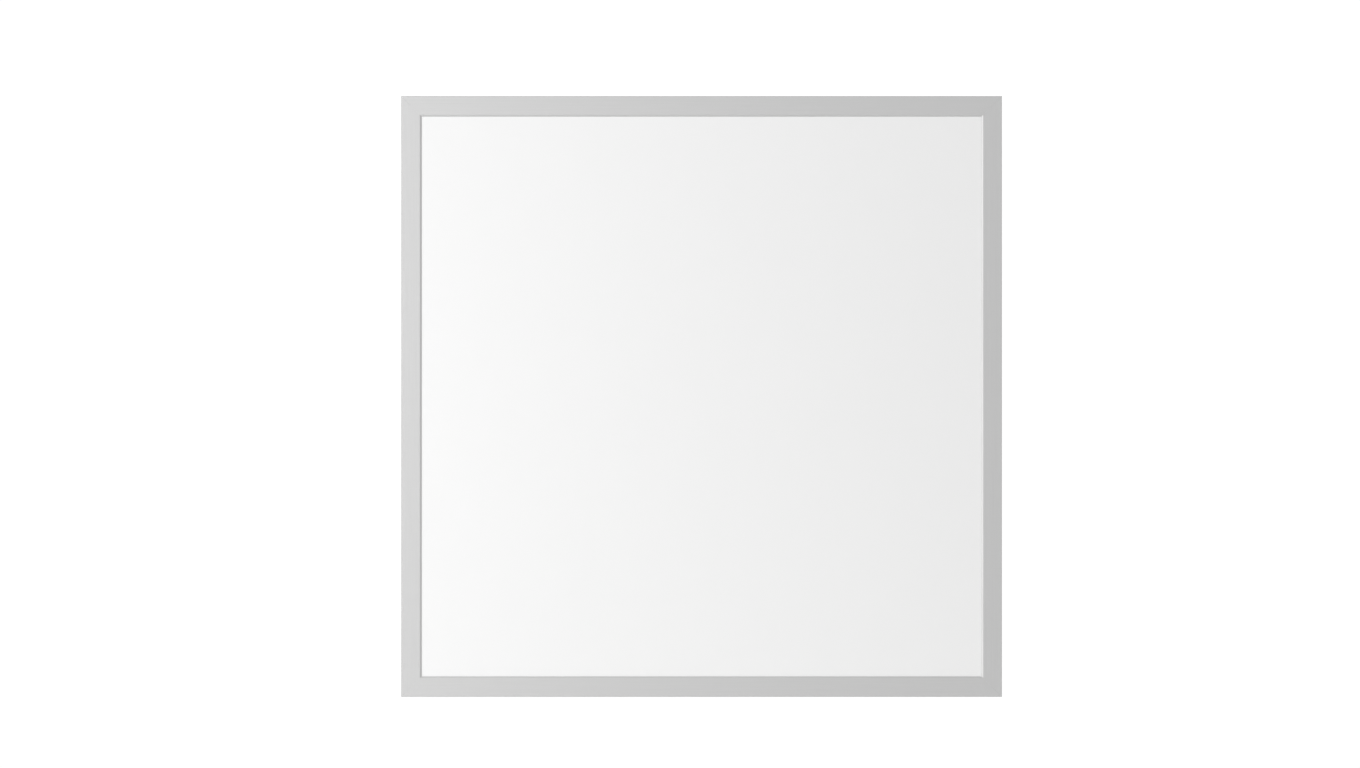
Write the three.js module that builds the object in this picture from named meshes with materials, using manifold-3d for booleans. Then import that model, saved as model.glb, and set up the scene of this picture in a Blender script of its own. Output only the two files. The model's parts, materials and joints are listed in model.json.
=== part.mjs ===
// A square edge-lit LED panel light with its driver on the back, in millimetres.
// X runs to the right, Y from the lit face to the back, and Z up. The origin is the centre of the
// plane of the frame's front face, which is the plane that meets a ceiling grid.
//
// From the front: a mitred frame, a diffuser, a light guide lit from its left and right edges by
// LED strips, a reflector sheet, a foam sheet and a screwed back cover. The driver's case stands
// on the back cover, and has a hinged lid over the supply terminals.

import * as THREE from "three";
import { mergeVertices } from "three/addons/utils/BufferGeometryUtils.js";
import Module from "manifold-3d";

const wasm = await Module();
wasm.setup();

// ---------------------------------------------------------------- driving dimensions

const PANEL_WIDTH = 595; // fits the opening of a 600 mm ceiling grid
const PANEL_HEIGHT = 595;
const FIT = 0.3; // clearance between pieces that are dropped in or slid in
const FILM_GAP = 0.1; // air between two sheets of the optical stack
const THROUGH = 1; // how far a cutting tool runs past what it cuts
const ROOT = 0.5; // how far a joined piece is sunk into what carries it

// Frame extrusion. "In" is measured from the panel's outer edge towards its middle.
const FACE_WIDTH = 20.3;
const WALL = 1.4; // outer wall, front flange and heat sink wall
const EDGE_RADIUS = 0.5;
const BEVEL_WIDTH = 1.7; // sloped inner edge of the face
const BEVEL_DEPTH = 1.0;
const CHANNEL_WIDTH = 7.8; // wide part of the T channel, which takes the corner keys
const CHANNEL_DEPTH = 3.6;
const SLOT_WIDTH = 2.6; // narrow part of the T channel, which the cover screws bite into
const MITRE_GAP = 0.3;

// Sheets
const DIFFUSER_THICKNESS = 1.5;
const GUIDE_THICKNESS = 3;
const REFLECTOR_THICKNESS = 0.3;
const FOAM_THICKNESS = 2.5;
const COVER_THICKNESS = 0.5;
const RIM_STAND = 0.3; // how far the frame's outer wall stands behind the back cover
const EXPANSION_GAP = 1.2; // room for the light guide to grow when warm

// LED strips
const TAPE_THICKNESS = 0.2;
const BOARD_THICKNESS = 1;
const BOARD_WIDTH = 7;
const CHIP_HEIGHT = 0.8;
const CHIP_WIDTH = 2.8; // across the light guide's edge
const CHIP_LENGTH = 3.5;
const CHIP_COUNT = 64;
const CHIP_GAP = 0.5; // from the chip to the light guide
const STRIP_END_GAP = 7;
const STRIP_LIFT = 0.4; // from the rail's front flange to the strip

// Corner keys and cover screws
const KEY_ARM = 38;
const KEY_HOLE = 2.6;
const CORNER_SCREW_INSET = 28;
const COVER_HOLE = 3.2;
const SCREWS_PER_SIDE = 4;
const SCREW = { shank: 2.2, head: 5.6, headHeight: 1.8, recess: 3.2, recessWidth: 0.7 };
const HEAD_SHAPE = { rim: 0.45, crown: 0.88, shoulder: 0.36, recessFloor: 0.35 }; // shares of the head
const COVER_SCREW_LENGTH = 6.2;
const CASE_SCREW_LENGTH = 4.6;

// Back cover
const COVER_CORNER_RADIUS = 3;
const BEAD_WIDTH = 8;
const BEAD_HEIGHT = 1;
const BEAD_RING_INSET = 76; // from the panel's edge to the ring bead's middle line
const BEAD_RING_RADIUS = 24;
const BAR_BEAD_LENGTH = 330;
const BAR_BEAD_HEIGHTS = [75, 125];
const BAR_BEAD_FLAT = 0.01; // half of the flat that is left on a bar's round end
const HANGER_INSET = 46;
const HANGER_NUT = { bore: 3.4, body: 5.6, flange: 9, flangeHeight: 0.8, depth: 1.8, seatGap: 0.02 };
const COLLAR_DEPTH = 1.6;
const COLLAR_BORE = 2.6;
const COLLAR_WALL = 0.7;
const FOAM_CLEARANCE = { grommet: 1, nut: 2, collar: 1.5 };

// Driver case
const CASE_LENGTH = 200;
const CASE_HEIGHT = 56; // along Z
const CASE_DEPTH = 22; // from the case's foot to the top of its walls
const CASE_WALL = 2;
const CASE_CORNER = 4;
const CASE_SEAT_GAP = 0.1;
const LID_THICKNESS = 2;
const LIP_THICKNESS = 1.4;
const LIP_DEPTH = 3;
const LID_LENGTH = 48;
const THUMB_NOTCH = { radius: 8, depth: 0.8, reach: 4 };
const BARRIER_THICKNESS = 1.6;
const EAR_LENGTH = 13;
const EAR_WIDTH = 20;
const EAR_THICKNESS = 2.4;
const EAR_CORNER = 5;
const EAR_HOLE_CLEARANCE = 0.6;
const EAR_SCREW_Z = 6; // above the middle line, clear of the leads under the back cover
const ENTRY_WIDTH = 10;
const ENTRY_DEPTH = 8;
const ENTRY_ABOVE_FLOOR = 0.7;
const ENTRY_CORNER = 2;
const LIP_END_GAP = { cover: 2, lid: 1 }; // from a lip's end to the corner
const VENT_COUNT = 7;
const VENT = { width: 2, length: 22, pitch: 6, fromEnd: 38 };
const SNAP = { length: 9, height: 2.6, fromTop: 2.8, hook: 0.9, fromEnd: 20, fromLid: 32 };
const SNAPS_PER_WALL = 3;

// Lid hinge
const PIN_RADIUS = 1;
const KNUCKLE_BORE = 1.08;
const KNUCKLE_RADIUS = 2.2;
const KNUCKLE_FOOT = { depth: 6, ledge: 0.6 };
const PIN_INSET = 2.5; // from the lid's edge to the pin's end
const HINGE_STANDOFF = 2.4; // from the case's wall to the hinge's axis

// Driver board and what stands on it
const STANDOFF_HEIGHT = 3;
const STANDOFF_RADIUS = 2.5;
const STANDOFF_INSET = { x: 6, z: 4 };
const PCB = { left: 16, right: 26, height: 48, thickness: 1.6 }; // left, right: gaps to the case's ends
const SOLDER_GAP = 0.1;
const TERMINAL = { length: 18, right: 28, depth: 13, pole: 8, poles: 3, endWall: 0.5 };
const WIRE_ENTRY = { bore: 3.6, depth: 9, lift: 4 };
const BUTTON = { width: 3.8, height: 4.4, length: 7, stand: 1.4, travel: 1.2, inset: 4.5 };
const BUTTON_SLOT = { width: 0.8, depth: 0.5 };
const CORE = { x0: -20, x1: 6, height: 24, depth: 9, lift: 1.5, leg: 3, centreLeg: 8, yoke: 4 };
const WINDING = { width: 19.2, height: 15.2, depth: 11.8 };
const CAN_END = { length: 1, step: 0.5 }; // the narrower end of a capacitor's can
const INPUT_CAPACITOR = { radius: 6, length: 21, x: 14, z: 13 };
const OUTPUT_CAPACITOR = { radius: 4.5, length: 16, x: -50, z: -12 };
const CHOKE = { radius: 6, wire: 2.6, x: 26, z: -12 };
const OUTPUT_SOCKET = { length: 10, height: 11, depth: 6, entryDepth: 6, clearance: 0.15 };

// Supply cable clamp
const POST = { radius: 3.5, height: 9.5, fromEnd: 12, z: 11, holeClearance: 0.15 };
const CLAMP = { width: 10, length: 31, thickness: 2.5, corner: 2.5, gap: 0.1, screwLength: 9 };
const CLAMP_RIDGE = { height: 1, width: 1.2, spacing: 5, fromPost: 5 };
const CLAMP_HOLE_CLEARANCE = 0.4;

// Leads from the driver to the two LED strips, flat and two-cored
const LEAD_WIDTH = 2.6;
const LEAD_THICKNESS = 1.2;
const LEAD_Z = 1.6; // each lead's distance from the middle line
const LEAD_BEND = 1.6;
const GROOVE_DEPTH = 2.1;
const GROMMET = { fromEnd: 9, bore: 3.4, neck: 4.2, hole: 4.5, flange: 6, top: 1.4, bottom: 0.6 };
const GROMMET_SLOPE = { top: 0.8, bottom: 0.4 };
const GROMMET_CLEARANCE = 0.7; // to the hole in the driver tray
const HOLE_SIDES = 12;
const GROMMET_SIDES = 20;
const NOTCH_SIDES = 24;
const CAN_SIDES = 20;

// ---------------------------------------------------------------- places worked out from them

const HALF_X = PANEL_WIDTH / 2;
const HALF_Z = PANEL_HEIGHT / 2;
const SCREW_IN = WALL + CHANNEL_WIDTH / 2;
const HEATSINK_IN = WALL + CHANNEL_WIDTH + WALL;
const BOARD_IN = HEATSINK_IN + TAPE_THICKNESS;
const CHIP_IN = BOARD_IN + BOARD_THICKNESS;
const GUIDE_IN = CHIP_IN + CHIP_HEIGHT + CHIP_GAP;
const DIFFUSER_IN = CHIP_IN + FIT;

const LIP_Y = WALL + CHANNEL_DEPTH;
const DIFFUSER_Y = WALL + FILM_GAP;
const GUIDE_Y = DIFFUSER_Y + DIFFUSER_THICKNESS + FILM_GAP;
const REFLECTOR_Y = GUIDE_Y + GUIDE_THICKNESS + FILM_GAP;
const FOAM_Y = REFLECTOR_Y + REFLECTOR_THICKNESS + FILM_GAP;
const SEAT_Y = FOAM_Y + FOAM_THICKNESS + FILM_GAP; // where the back cover rests on the frame
const COVER_Y = SEAT_Y + COVER_THICKNESS; // the back cover's outer face
const FRAME_DEPTH = COVER_Y + RIM_STAND;
const CHIP_Y = GUIDE_Y + GUIDE_THICKNESS / 2;
const BOARD_Y = WALL + STRIP_LIFT;

const CASE_Y = COVER_Y + CASE_SEAT_GAP;
const FLOOR_Y = CASE_Y + CASE_WALL;
const CASE_TOP_Y = CASE_Y + CASE_DEPTH;
const LID_Y = CASE_TOP_Y + FIT;
const CASE_X = CASE_LENGTH / 2;
const CASE_Z = CASE_HEIGHT / 2;
const LID_X0 = CASE_X - LID_LENGTH;
const HINGE_Y = LID_Y + LID_THICKNESS - KNUCKLE_RADIUS;
const HINGE_Z = CASE_Z + HINGE_STANDOFF;
const PCB_Y = FLOOR_Y + STANDOFF_HEIGHT;
const PCB_TOP_Y = PCB_Y + PCB.thickness;
const PART_Y = PCB_TOP_Y + SOLDER_GAP; // where the board's components stand
const BUTTON_TOP_Y = PART_Y + TERMINAL.depth + BUTTON.stand;
const LEAD_Y = SEAT_Y - GROOVE_DEPTH + FILM_GAP + LEAD_THICKNESS / 2;
const EAR_SCREW_X = CASE_X + EAR_LENGTH / 2;
const BOARD_X0 = -CASE_X + PCB.left;
const BOARD_X1 = CASE_X - PCB.right;
const TERMINAL_X1 = CASE_X - TERMINAL.right;
const TERMINAL_X0 = TERMINAL_X1 - TERMINAL.length;
const BUTTON_X = TERMINAL_X0 + BUTTON.inset;
const POST_X = CASE_X - POST.fromEnd;
const CLAMP_Y = FLOOR_Y + POST.height + CLAMP.gap;
const GROMMET_X = -CASE_X + GROMMET.fromEnd;

// ---------------------------------------------------------------- materials

const finish = (color, roughness, metalness = 0) =>
  new THREE.MeshStandardMaterial({ color, roughness, metalness });
const anodised = finish(0xc9cacc, 0.35, 0.9);
const zincPlated = finish(0xb9bcc0, 0.3, 1);
const dieCast = finish(0x9c9ea0, 0.5, 0.9);
const whiteSteel = finish(0xe9eae8, 0.5, 0.1);
const opal = finish(0xf4f4f2, 0.45);
const acrylic = finish(0xe8f2f2, 0.05);
const reflectiveFilm = finish(0xfafafa, 0.3);
const foam = finish(0xdfe1df, 0.95);
const thermalTape = finish(0xe6e7ea, 0.8);
const whiteBoard = finish(0xf0f0ea, 0.4);
const casePlastic = finish(0xf2f2ef, 0.45);
const greenBoard = finish(0x2c6b3f, 0.45);
const ferrite = finish(0x33322f, 0.7);
const tape = finish(0xd9b32c, 0.35);
const sleeve = finish(0x1c1d22, 0.4);
const greyPlastic = finish(0xb8babb, 0.5);
const orangePlastic = finish(0xd9701f, 0.45);
const rubber = finish(0x222222, 0.85);
const leadSheath = finish(0xededec, 0.6);

// ---------------------------------------------------------------- solids

const WELD = 1e-4;

function solid(geometry) {
  geometry.deleteAttribute("normal");
  geometry.deleteAttribute("uv");
  const merged = mergeVertices(geometry, WELD);
  const corners = merged.index.array;
  const kept = [];
  for (let i = 0; i < corners.length; i += 3) {
    const [a, b, c] = corners.slice(i, i + 3);
    if (a !== b && b !== c && c !== a) kept.push(a, b, c);
  }
  const vertProperties = merged.attributes.position.array;
  const triVerts = new Uint32Array(kept);
  return new wasm.Manifold(new wasm.Mesh({ numProp: 3, vertProperties, triVerts }));
}

function geometryOf(body) {
  const { numProp, vertProperties, triVerts } = body.getMesh();
  const geometry = new THREE.BufferGeometry();
  const positions = new THREE.BufferAttribute(new Float32Array(vertProperties), numProp);
  geometry.setAttribute("position", positions);
  geometry.setIndex(new THREE.BufferAttribute(new Uint32Array(triVerts), 1));
  geometry.computeVertexNormals();
  return geometry;
}

function piece(name, body, material) {
  const mesh = new THREE.Mesh(geometryOf(body), material);
  mesh.name = name;
  return mesh;
}

const join = (...bodies) => bodies.reduce((whole, next) => whole.add(next));
const cut = (body, ...tools) => tools.reduce((left, tool) => left.subtract(tool), body);

function block(x0, x1, y0, y1, z0, z1) {
  const geometry = new THREE.BoxGeometry(x1 - x0, y1 - y0, z1 - z0);
  return solid(geometry.translate((x0 + x1) / 2, (y0 + y1) / 2, (z0 + z1) / 2));
}

// A round bar along Y, X or Z.
function barY(radius, y0, y1, x, z, sides = 16) {
  const geometry = new THREE.CylinderGeometry(radius, radius, y1 - y0, sides);
  return solid(geometry.translate(x, (y0 + y1) / 2, z));
}

function barX(radius, x0, x1, y, z, sides = 16) {
  const geometry = new THREE.CylinderGeometry(radius, radius, x1 - x0, sides).rotateZ(Math.PI / 2);
  return solid(geometry.translate((x0 + x1) / 2, y, z));
}

const PRISM = { bevelEnabled: false, curveSegments: 4 };

// A plate whose outline is drawn in X and Z, from y0 to y1.
function plate(shape, y0, y1) {
  const geometry = new THREE.ExtrudeGeometry(shape, { depth: y1 - y0, ...PRISM });
  return solid(geometry.rotateX(Math.PI / 2).translate(0, y1, 0));
}

// A plate whose outline is drawn in Y and Z, from x0 to x1.
function plateX(shape, x0, x1) {
  const geometry = new THREE.ExtrudeGeometry(shape, { depth: x1 - x0, ...PRISM });
  const turn = new THREE.Matrix4().set(0, 0, 1, x0, 1, 0, 0, 0, 0, 1, 0, 0, 0, 0, 0, 1);
  return solid(geometry.applyMatrix4(turn));
}

function polygon(points) {
  return new THREE.Shape(points.map(([x, y]) => new THREE.Vector2(x, y)));
}

// A rectangle with round corners, centred on (x, z).
function roundedRectangle(width, height, radius, x = 0, z = 0) {
  const [a, b, c, d] = [x - width / 2, x + width / 2, z - height / 2, z + height / 2];
  const shape = new THREE.Shape();
  shape.moveTo(a + radius, c);
  shape.absarc(b - radius, c + radius, radius, -Math.PI / 2, 0, false);
  shape.absarc(b - radius, d - radius, radius, 0, Math.PI / 2, false);
  shape.absarc(a + radius, d - radius, radius, Math.PI / 2, Math.PI, false);
  shape.absarc(a + radius, c + radius, radius, Math.PI, Math.PI * 1.5, false);
  return shape;
}

// A solid of revolution about Y; the profile's points are (radius, y) from the bottom up.
function turned(points, sides) {
  return solid(new THREE.LatheGeometry(points.map(([r, y]) => new THREE.Vector2(r, y)), sides));
}

// ---------------------------------------------------------------- screws

// A pan-head cross-recessed screw: its head's underside is at y 0, and its shank points to -Y.
function screwBody(length) {
  const { shank, head, headHeight, recess, recessWidth } = SCREW;
  const { rim, crown, shoulder, recessFloor } = HEAD_SHAPE;
  const point = shank / 2;
  const body = turned(
    [
      [0, -length],
      [shank / 4, -length],
      [shank / 2, -length + point],
      [shank / 2, 0],
      [head / 2, 0],
      [head / 2, headHeight * rim],
      [head * shoulder, headHeight * crown],
      [0, headHeight],
    ],
    HOLE_SIDES,
  );
  const arm = recess / 2;
  const half = recessWidth / 2;
  const [floor, above] = [headHeight * recessFloor, headHeight + THROUGH];
  return cut(
    body,
    block(-arm, arm, floor, above, -half, half),
    block(-half, half, floor, above, -arm, arm),
  );
}

function screw(name, length, x, y, z) {
  const mesh = piece(name, screwBody(length), zincPlated);
  mesh.position.set(x, y, z);
  return mesh;
}

// ---------------------------------------------------------------- frame

// The extrusion's section in X and Y, for a rail whose outer edge is at x = -reach.
function railSection(reach) {
  const at = (x) => x - reach;
  const slot0 = at(SCREW_IN - SLOT_WIDTH / 2);
  const slot1 = at(SCREW_IN + SLOT_WIDTH / 2);
  const channel1 = at(WALL + CHANNEL_WIDTH);
  const shape = polygon([
    [at(EDGE_RADIUS), 0],
    [at(FACE_WIDTH - BEVEL_WIDTH), 0],
    [at(FACE_WIDTH), BEVEL_DEPTH],
    [at(FACE_WIDTH), WALL],
    [at(HEATSINK_IN), WALL],
    [at(HEATSINK_IN), SEAT_Y],
    [slot1, SEAT_Y],
    [slot1, LIP_Y],
    [channel1, LIP_Y],
    [channel1, WALL],
    [at(WALL), WALL],
    [at(WALL), LIP_Y],
    [slot0, LIP_Y],
    [slot0, SEAT_Y],
    [at(WALL), SEAT_Y],
    [at(WALL), FRAME_DEPTH],
    [at(0), FRAME_DEPTH],
  ]);
  shape.absarc(at(EDGE_RADIUS), EDGE_RADIUS, EDGE_RADIUS, Math.PI, Math.PI * 1.5, false);
  return shape;
}

// A rail along Z, with both ends mitred.
function railBody(length, reach) {
  const bar = new THREE.ExtrudeGeometry(railSection(reach), { depth: length, ...PRISM });
  bar.translate(0, 0, -length / 2);
  const end = length / 2 - (MITRE_GAP / 2) * Math.SQRT2;
  const inner = FACE_WIDTH + THROUGH;
  const mitre = plate(
    polygon([
      [-reach - THROUGH, -end - THROUGH],
      [-reach + inner, -end + inner],
      [-reach + inner, end - inner],
      [-reach - THROUGH, end + THROUGH],
    ]),
    -THROUGH,
    FRAME_DEPTH + THROUGH,
  );
  return solid(bar).intersect(mitre);
}

// Where the cover's screws stand along a side of that length.
function screwPlaces(length) {
  const last = length / 2 - CORNER_SCREW_INSET;
  const step = (2 * last) / (SCREWS_PER_SIDE - 1);
  return Array.from({ length: SCREWS_PER_SIDE }, (_, i) => i * step - last);
}

// ---------------------------------------------------------------- LED strips

// A strip on the left rail's heat sink wall: a metal-cored board with its chips.
function stripBody() {
  const x = -HALF_X + BOARD_IN;
  const reach = HALF_Z - HEATSINK_IN - STRIP_END_GAP;
  const pitch = (2 * reach - CHIP_LENGTH * 2) / (CHIP_COUNT - 1);
  const first = -reach + CHIP_LENGTH;
  const board = block(x, x + BOARD_THICKNESS, BOARD_Y, BOARD_Y + BOARD_WIDTH, -reach, reach);
  const chips = Array.from({ length: CHIP_COUNT }, (_, i) => {
    const z = first + i * pitch;
    const sunk = x + BOARD_THICKNESS / 2;
    const top = x + BOARD_THICKNESS + CHIP_HEIGHT;
    const [y0, y1] = [CHIP_Y - CHIP_WIDTH / 2, CHIP_Y + CHIP_WIDTH / 2];
    return block(sunk, top, y0, y1, z - CHIP_LENGTH / 2, z + CHIP_LENGTH / 2);
  });
  return join(board, ...chips);
}

function tapeBody() {
  const x = -HALF_X + HEATSINK_IN;
  const reach = HALF_Z - HEATSINK_IN - STRIP_END_GAP - FIT;
  return block(x, x + TAPE_THICKNESS, BOARD_Y + FIT, BOARD_Y + BOARD_WIDTH - FIT, -reach, reach);
}

// One side of the frame with its screws, and a LED strip on the lit sides. Sides are built as the
// left one and turned about Y.
function side(name, turn, length, reach, lit) {
  const group = new THREE.Group();
  group.rotation.y = (turn * Math.PI) / 2;
  group.add(piece(`frame_rail_${name}`, railBody(length, reach), anodised));
  screwPlaces(length).forEach((z, i) => {
    const label = `cover_screw_${name}_${i + 1}`;
    group.add(screw(label, COVER_SCREW_LENGTH, -reach + SCREW_IN, COVER_Y, z));
  });
  if (lit) {
    group.add(piece(`led_strip_${name}`, stripBody(), whiteBoard));
    group.add(piece(`thermal_tape_${name}`, tapeBody(), thermalTape));
  }
  return group;
}

// An L-shaped key in the channels of two rails. Its outer corner is at the origin, and its arms
// run along +X and +Z.
function keyBody() {
  const near = WALL + FIT;
  const far = WALL + CHANNEL_WIDTH - FIT;
  const outline = polygon([
    [near, near],
    [KEY_ARM, near],
    [KEY_ARM, far],
    [far, far],
    [far, KEY_ARM],
    [near, KEY_ARM],
  ]);
  const [y0, y1] = [WALL + FIT, LIP_Y - FIT];
  const hole = (x, z) => barY(KEY_HOLE / 2, y0 - THROUGH, y1 + THROUGH, x, z, HOLE_SIDES);
  const body = plate(outline, y0, y1);
  return cut(body, hole(SCREW_IN, CORNER_SCREW_INSET), hole(CORNER_SCREW_INSET, SCREW_IN));
}

function cornerKey(name, turn, x, z) {
  const mesh = piece(`corner_key_${name}`, keyBody(), dieCast);
  mesh.rotation.y = (turn * Math.PI) / 2;
  mesh.position.set(x, 0, z);
  return mesh;
}

// ---------------------------------------------------------------- optical stack

function sheet(name, inX, inZ, y, thickness, material) {
  const [x, z] = [HALF_X - inX, HALF_Z - inZ];
  return piece(name, block(-x, x, y, y + thickness, -z, z), material);
}

const hangerPlaces = [
  ["bottom_left", -1, -1],
  ["top_left", -1, 1],
  ["top_right", 1, 1],
  ["bottom_right", 1, -1],
].map(([name, sx, sz]) => [name, sx * (HALF_X - HANGER_INSET), sz * (HALF_Z - HANGER_INSET)]);

// The foam is cut away round the grommet, the nuts and the collars, and grooved for the leads.
function foamBody() {
  const [x, z] = [HALF_X - GUIDE_IN, HALF_Z - HEATSINK_IN - EXPANSION_GAP];
  const top = FOAM_Y + FOAM_THICKNESS;
  const groove = LEAD_Z + LEAD_WIDTH / 2 + FIT;
  const [floor, above] = [SEAT_Y - GROOVE_DEPTH, top + THROUGH];
  const hole = (radius, hx, hz) => barY(radius, FOAM_Y - THROUGH, above, hx, hz, HOLE_SIDES);
  const nutHole = HANGER_NUT.body / 2 + FOAM_CLEARANCE.nut;
  const collarHole = COLLAR_BORE / 2 + COLLAR_WALL + FOAM_CLEARANCE.collar;
  return cut(
    block(-x, x, FOAM_Y, top, -z, z),
    block(-x - THROUGH, x + THROUGH, floor, above, -groove, groove),
    barY(GROMMET.flange + FOAM_CLEARANCE.grommet, floor, above, GROMMET_X, 0),
    ...hangerPlaces.map(([, hx, hz]) => hole(nutHole, hx, hz)),
    ...[-1, 1].map((s) => hole(collarHole, s * EAR_SCREW_X, EAR_SCREW_Z)),
  );
}

// ---------------------------------------------------------------- back cover

// A bead pressed outwards, from a function that makes its outline's solid at a given width and depth.
function bead(outlineSolid) {
  const middle = COVER_Y - COVER_THICKNESS / 2;
  const top = COVER_Y + BEAD_HEIGHT;
  return {
    raised: outlineSolid(BEAD_WIDTH, middle, top),
    hollow: outlineSolid(BEAD_WIDTH - 2 * COVER_THICKNESS, SEAT_Y - THROUGH, top - COVER_THICKNESS),
  };
}

function ringBead() {
  const [width, height] = [PANEL_WIDTH - 2 * BEAD_RING_INSET, PANEL_HEIGHT - 2 * BEAD_RING_INSET];
  return bead((across, y0, y1) => {
    const r = BEAD_RING_RADIUS;
    const outer = roundedRectangle(width + across, height + across, r + across / 2);
    const inner = roundedRectangle(width - across, height - across, r - across / 2);
    outer.holes.push(inner);
    return plate(outer, y0, y1);
  });
}

function barBead(z) {
  const middle = BAR_BEAD_LENGTH - BEAD_WIDTH;
  return bead((across, y0, y1) =>
    plate(roundedRectangle(middle + across, across, across / 2 - BAR_BEAD_FLAT, 0, z), y0, y1),
  );
}

function coverBody() {
  const [width, height] = [PANEL_WIDTH, PANEL_HEIGHT].map((size) => size - 2 * (WALL + FIT));
  const beads = [ringBead(), ...BAR_BEAD_HEIGHTS.flatMap((z) => [barBead(z), barBead(-z)])];
  const collar = (s) => {
    const [y0, y1] = [SEAT_Y - COLLAR_DEPTH, COVER_Y - COVER_THICKNESS / 2];
    return barY(COLLAR_BORE / 2 + COLLAR_WALL, y0, y1, s * EAR_SCREW_X, EAR_SCREW_Z, HOLE_SIDES);
  };
  const [below, above] = [SEAT_Y - COLLAR_DEPTH - THROUGH, COVER_Y + THROUGH];
  const hole = (radius, x, z) => barY(radius, below, above, x, z, HOLE_SIDES);
  const screwHoles = screwPlaces(PANEL_HEIGHT)
    .flatMap((z) => [-1, 1].map((s) => [s * (HALF_X - SCREW_IN), z]))
    .concat(screwPlaces(PANEL_WIDTH).flatMap((x) => [-1, 1].map((s) => [x, s * (HALF_Z - SCREW_IN)])));
  return cut(
    join(
      plate(roundedRectangle(width, height, COVER_CORNER_RADIUS), SEAT_Y, COVER_Y),
      ...beads.map(({ raised }) => raised),
      collar(-1),
      collar(1),
    ),
    ...beads.map(({ hollow }) => hollow),
    ...screwHoles.map(([x, z]) => hole(COVER_HOLE / 2, x, z)),
    ...hangerPlaces.map(([, x, z]) => hole(HANGER_NUT.body / 2 + FIT / 2, x, z)),
    ...[-1, 1].map((s) => hole(COLLAR_BORE / 2, s * EAR_SCREW_X, EAR_SCREW_Z)),
    barY(GROMMET.hole, below, above, GROMMET_X, 0),
  );
}

// A rivet nut: its flange lies on the back cover, and its body passes through.
function hangerNut(name, x, z) {
  const { bore, body, flange, flangeHeight, depth, seatGap } = HANGER_NUT;
  const [seat, end] = [COVER_Y + seatGap, SEAT_Y - depth];
  const top = seat + flangeHeight;
  const blank = join(
    barY(flange / 2, seat, top, x, z),
    barY(body / 2, end, seat + flangeHeight / 2, x, z, HOLE_SIDES),
  );
  const thread = barY(bore / 2, end - THROUGH, top + THROUGH, x, z, HOLE_SIDES);
  return piece(`hanger_nut_${name}`, cut(blank, thread), zincPlated);
}

function grommetBody() {
  const { bore, neck, flange, top, bottom } = GROMMET;
  const [low, high] = [SEAT_Y - FILM_GAP, COVER_Y + FILM_GAP];
  const ring = turned(
    [
      [bore, low - bottom],
      [flange - GROMMET_SLOPE.bottom, low - bottom],
      [flange, low],
      [neck, low],
      [neck, high],
      [flange, high],
      [flange - GROMMET_SLOPE.top, high + top],
      [bore, high + top],
      [bore, low - bottom],
    ],
    GROMMET_SIDES,
  );
  return ring.translate([GROMMET_X, 0, 0]);
}

// ---------------------------------------------------------------- driver case

// The tray's hinge knuckles and the lid's, each as [x0, x1] from the lid's left edge.
const TRAY_KNUCKLES = [
  [2, 8],
  [18, 30],
  [40, 46],
];
const LID_KNUCKLES = [
  [8.3, 17.7],
  [30.3, 39.7],
];

const pinHole = () => barX(KNUCKLE_BORE, LID_X0 - THROUGH, CASE_X + THROUGH, HINGE_Y, HINGE_Z);

function trayKnuckle([a, b]) {
  const [x0, x1] = [LID_X0 + a, LID_X0 + b];
  const { depth, ledge } = KNUCKLE_FOOT;
  const foot = CASE_Z - CASE_WALL / 2;
  return join(
    barX(KNUCKLE_RADIUS, x0, x1, HINGE_Y, HINGE_Z),
    block(x0, x1, HINGE_Y - depth, HINGE_Y - ledge, foot, HINGE_Z + ledge),
  );
}

const roundHole = (x, z, radius) =>
  barY(radius, CASE_Y - THROUGH, CASE_TOP_Y + THROUGH, x, z, HOLE_SIDES);

// The snap windows are cut through the tray's long walls, and the cover's hooks stand in them.
const SNAPS = Array.from({ length: SNAPS_PER_WALL }, (_, i) => {
  const [first, last] = [-CASE_X + SNAP.fromEnd, LID_X0 - SNAP.fromLid];
  return first + (i * (last - first)) / (SNAPS_PER_WALL - 1);
}).flatMap((x) => [
  [x, -1],
  [x, 1],
]);

function snapWindow([x, s]) {
  const y = CASE_TOP_Y - SNAP.fromTop;
  const wall = [CASE_Z - CASE_WALL - THROUGH, CASE_Z + THROUGH];
  const [z0, z1] = wall.map((z) => z * s).sort((a, b) => a - b);
  return block(x - SNAP.length / 2, x + SNAP.length / 2, y, y + SNAP.height, z0, z1);
}

function snapHook([x, s]) {
  const y = CASE_TOP_Y - SNAP.fromTop + FIT;
  const inner = CASE_Z - CASE_WALL - FIT - LIP_THICKNESS / 2;
  const [z0, z1] = [inner, CASE_Z - CASE_WALL + SNAP.hook].map((z) => z * s).sort((a, b) => a - b);
  const half = SNAP.length / 2 - FIT;
  return block(x - half, x + half, y, y + SNAP.height - 2 * FIT, z0, z1);
}

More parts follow.
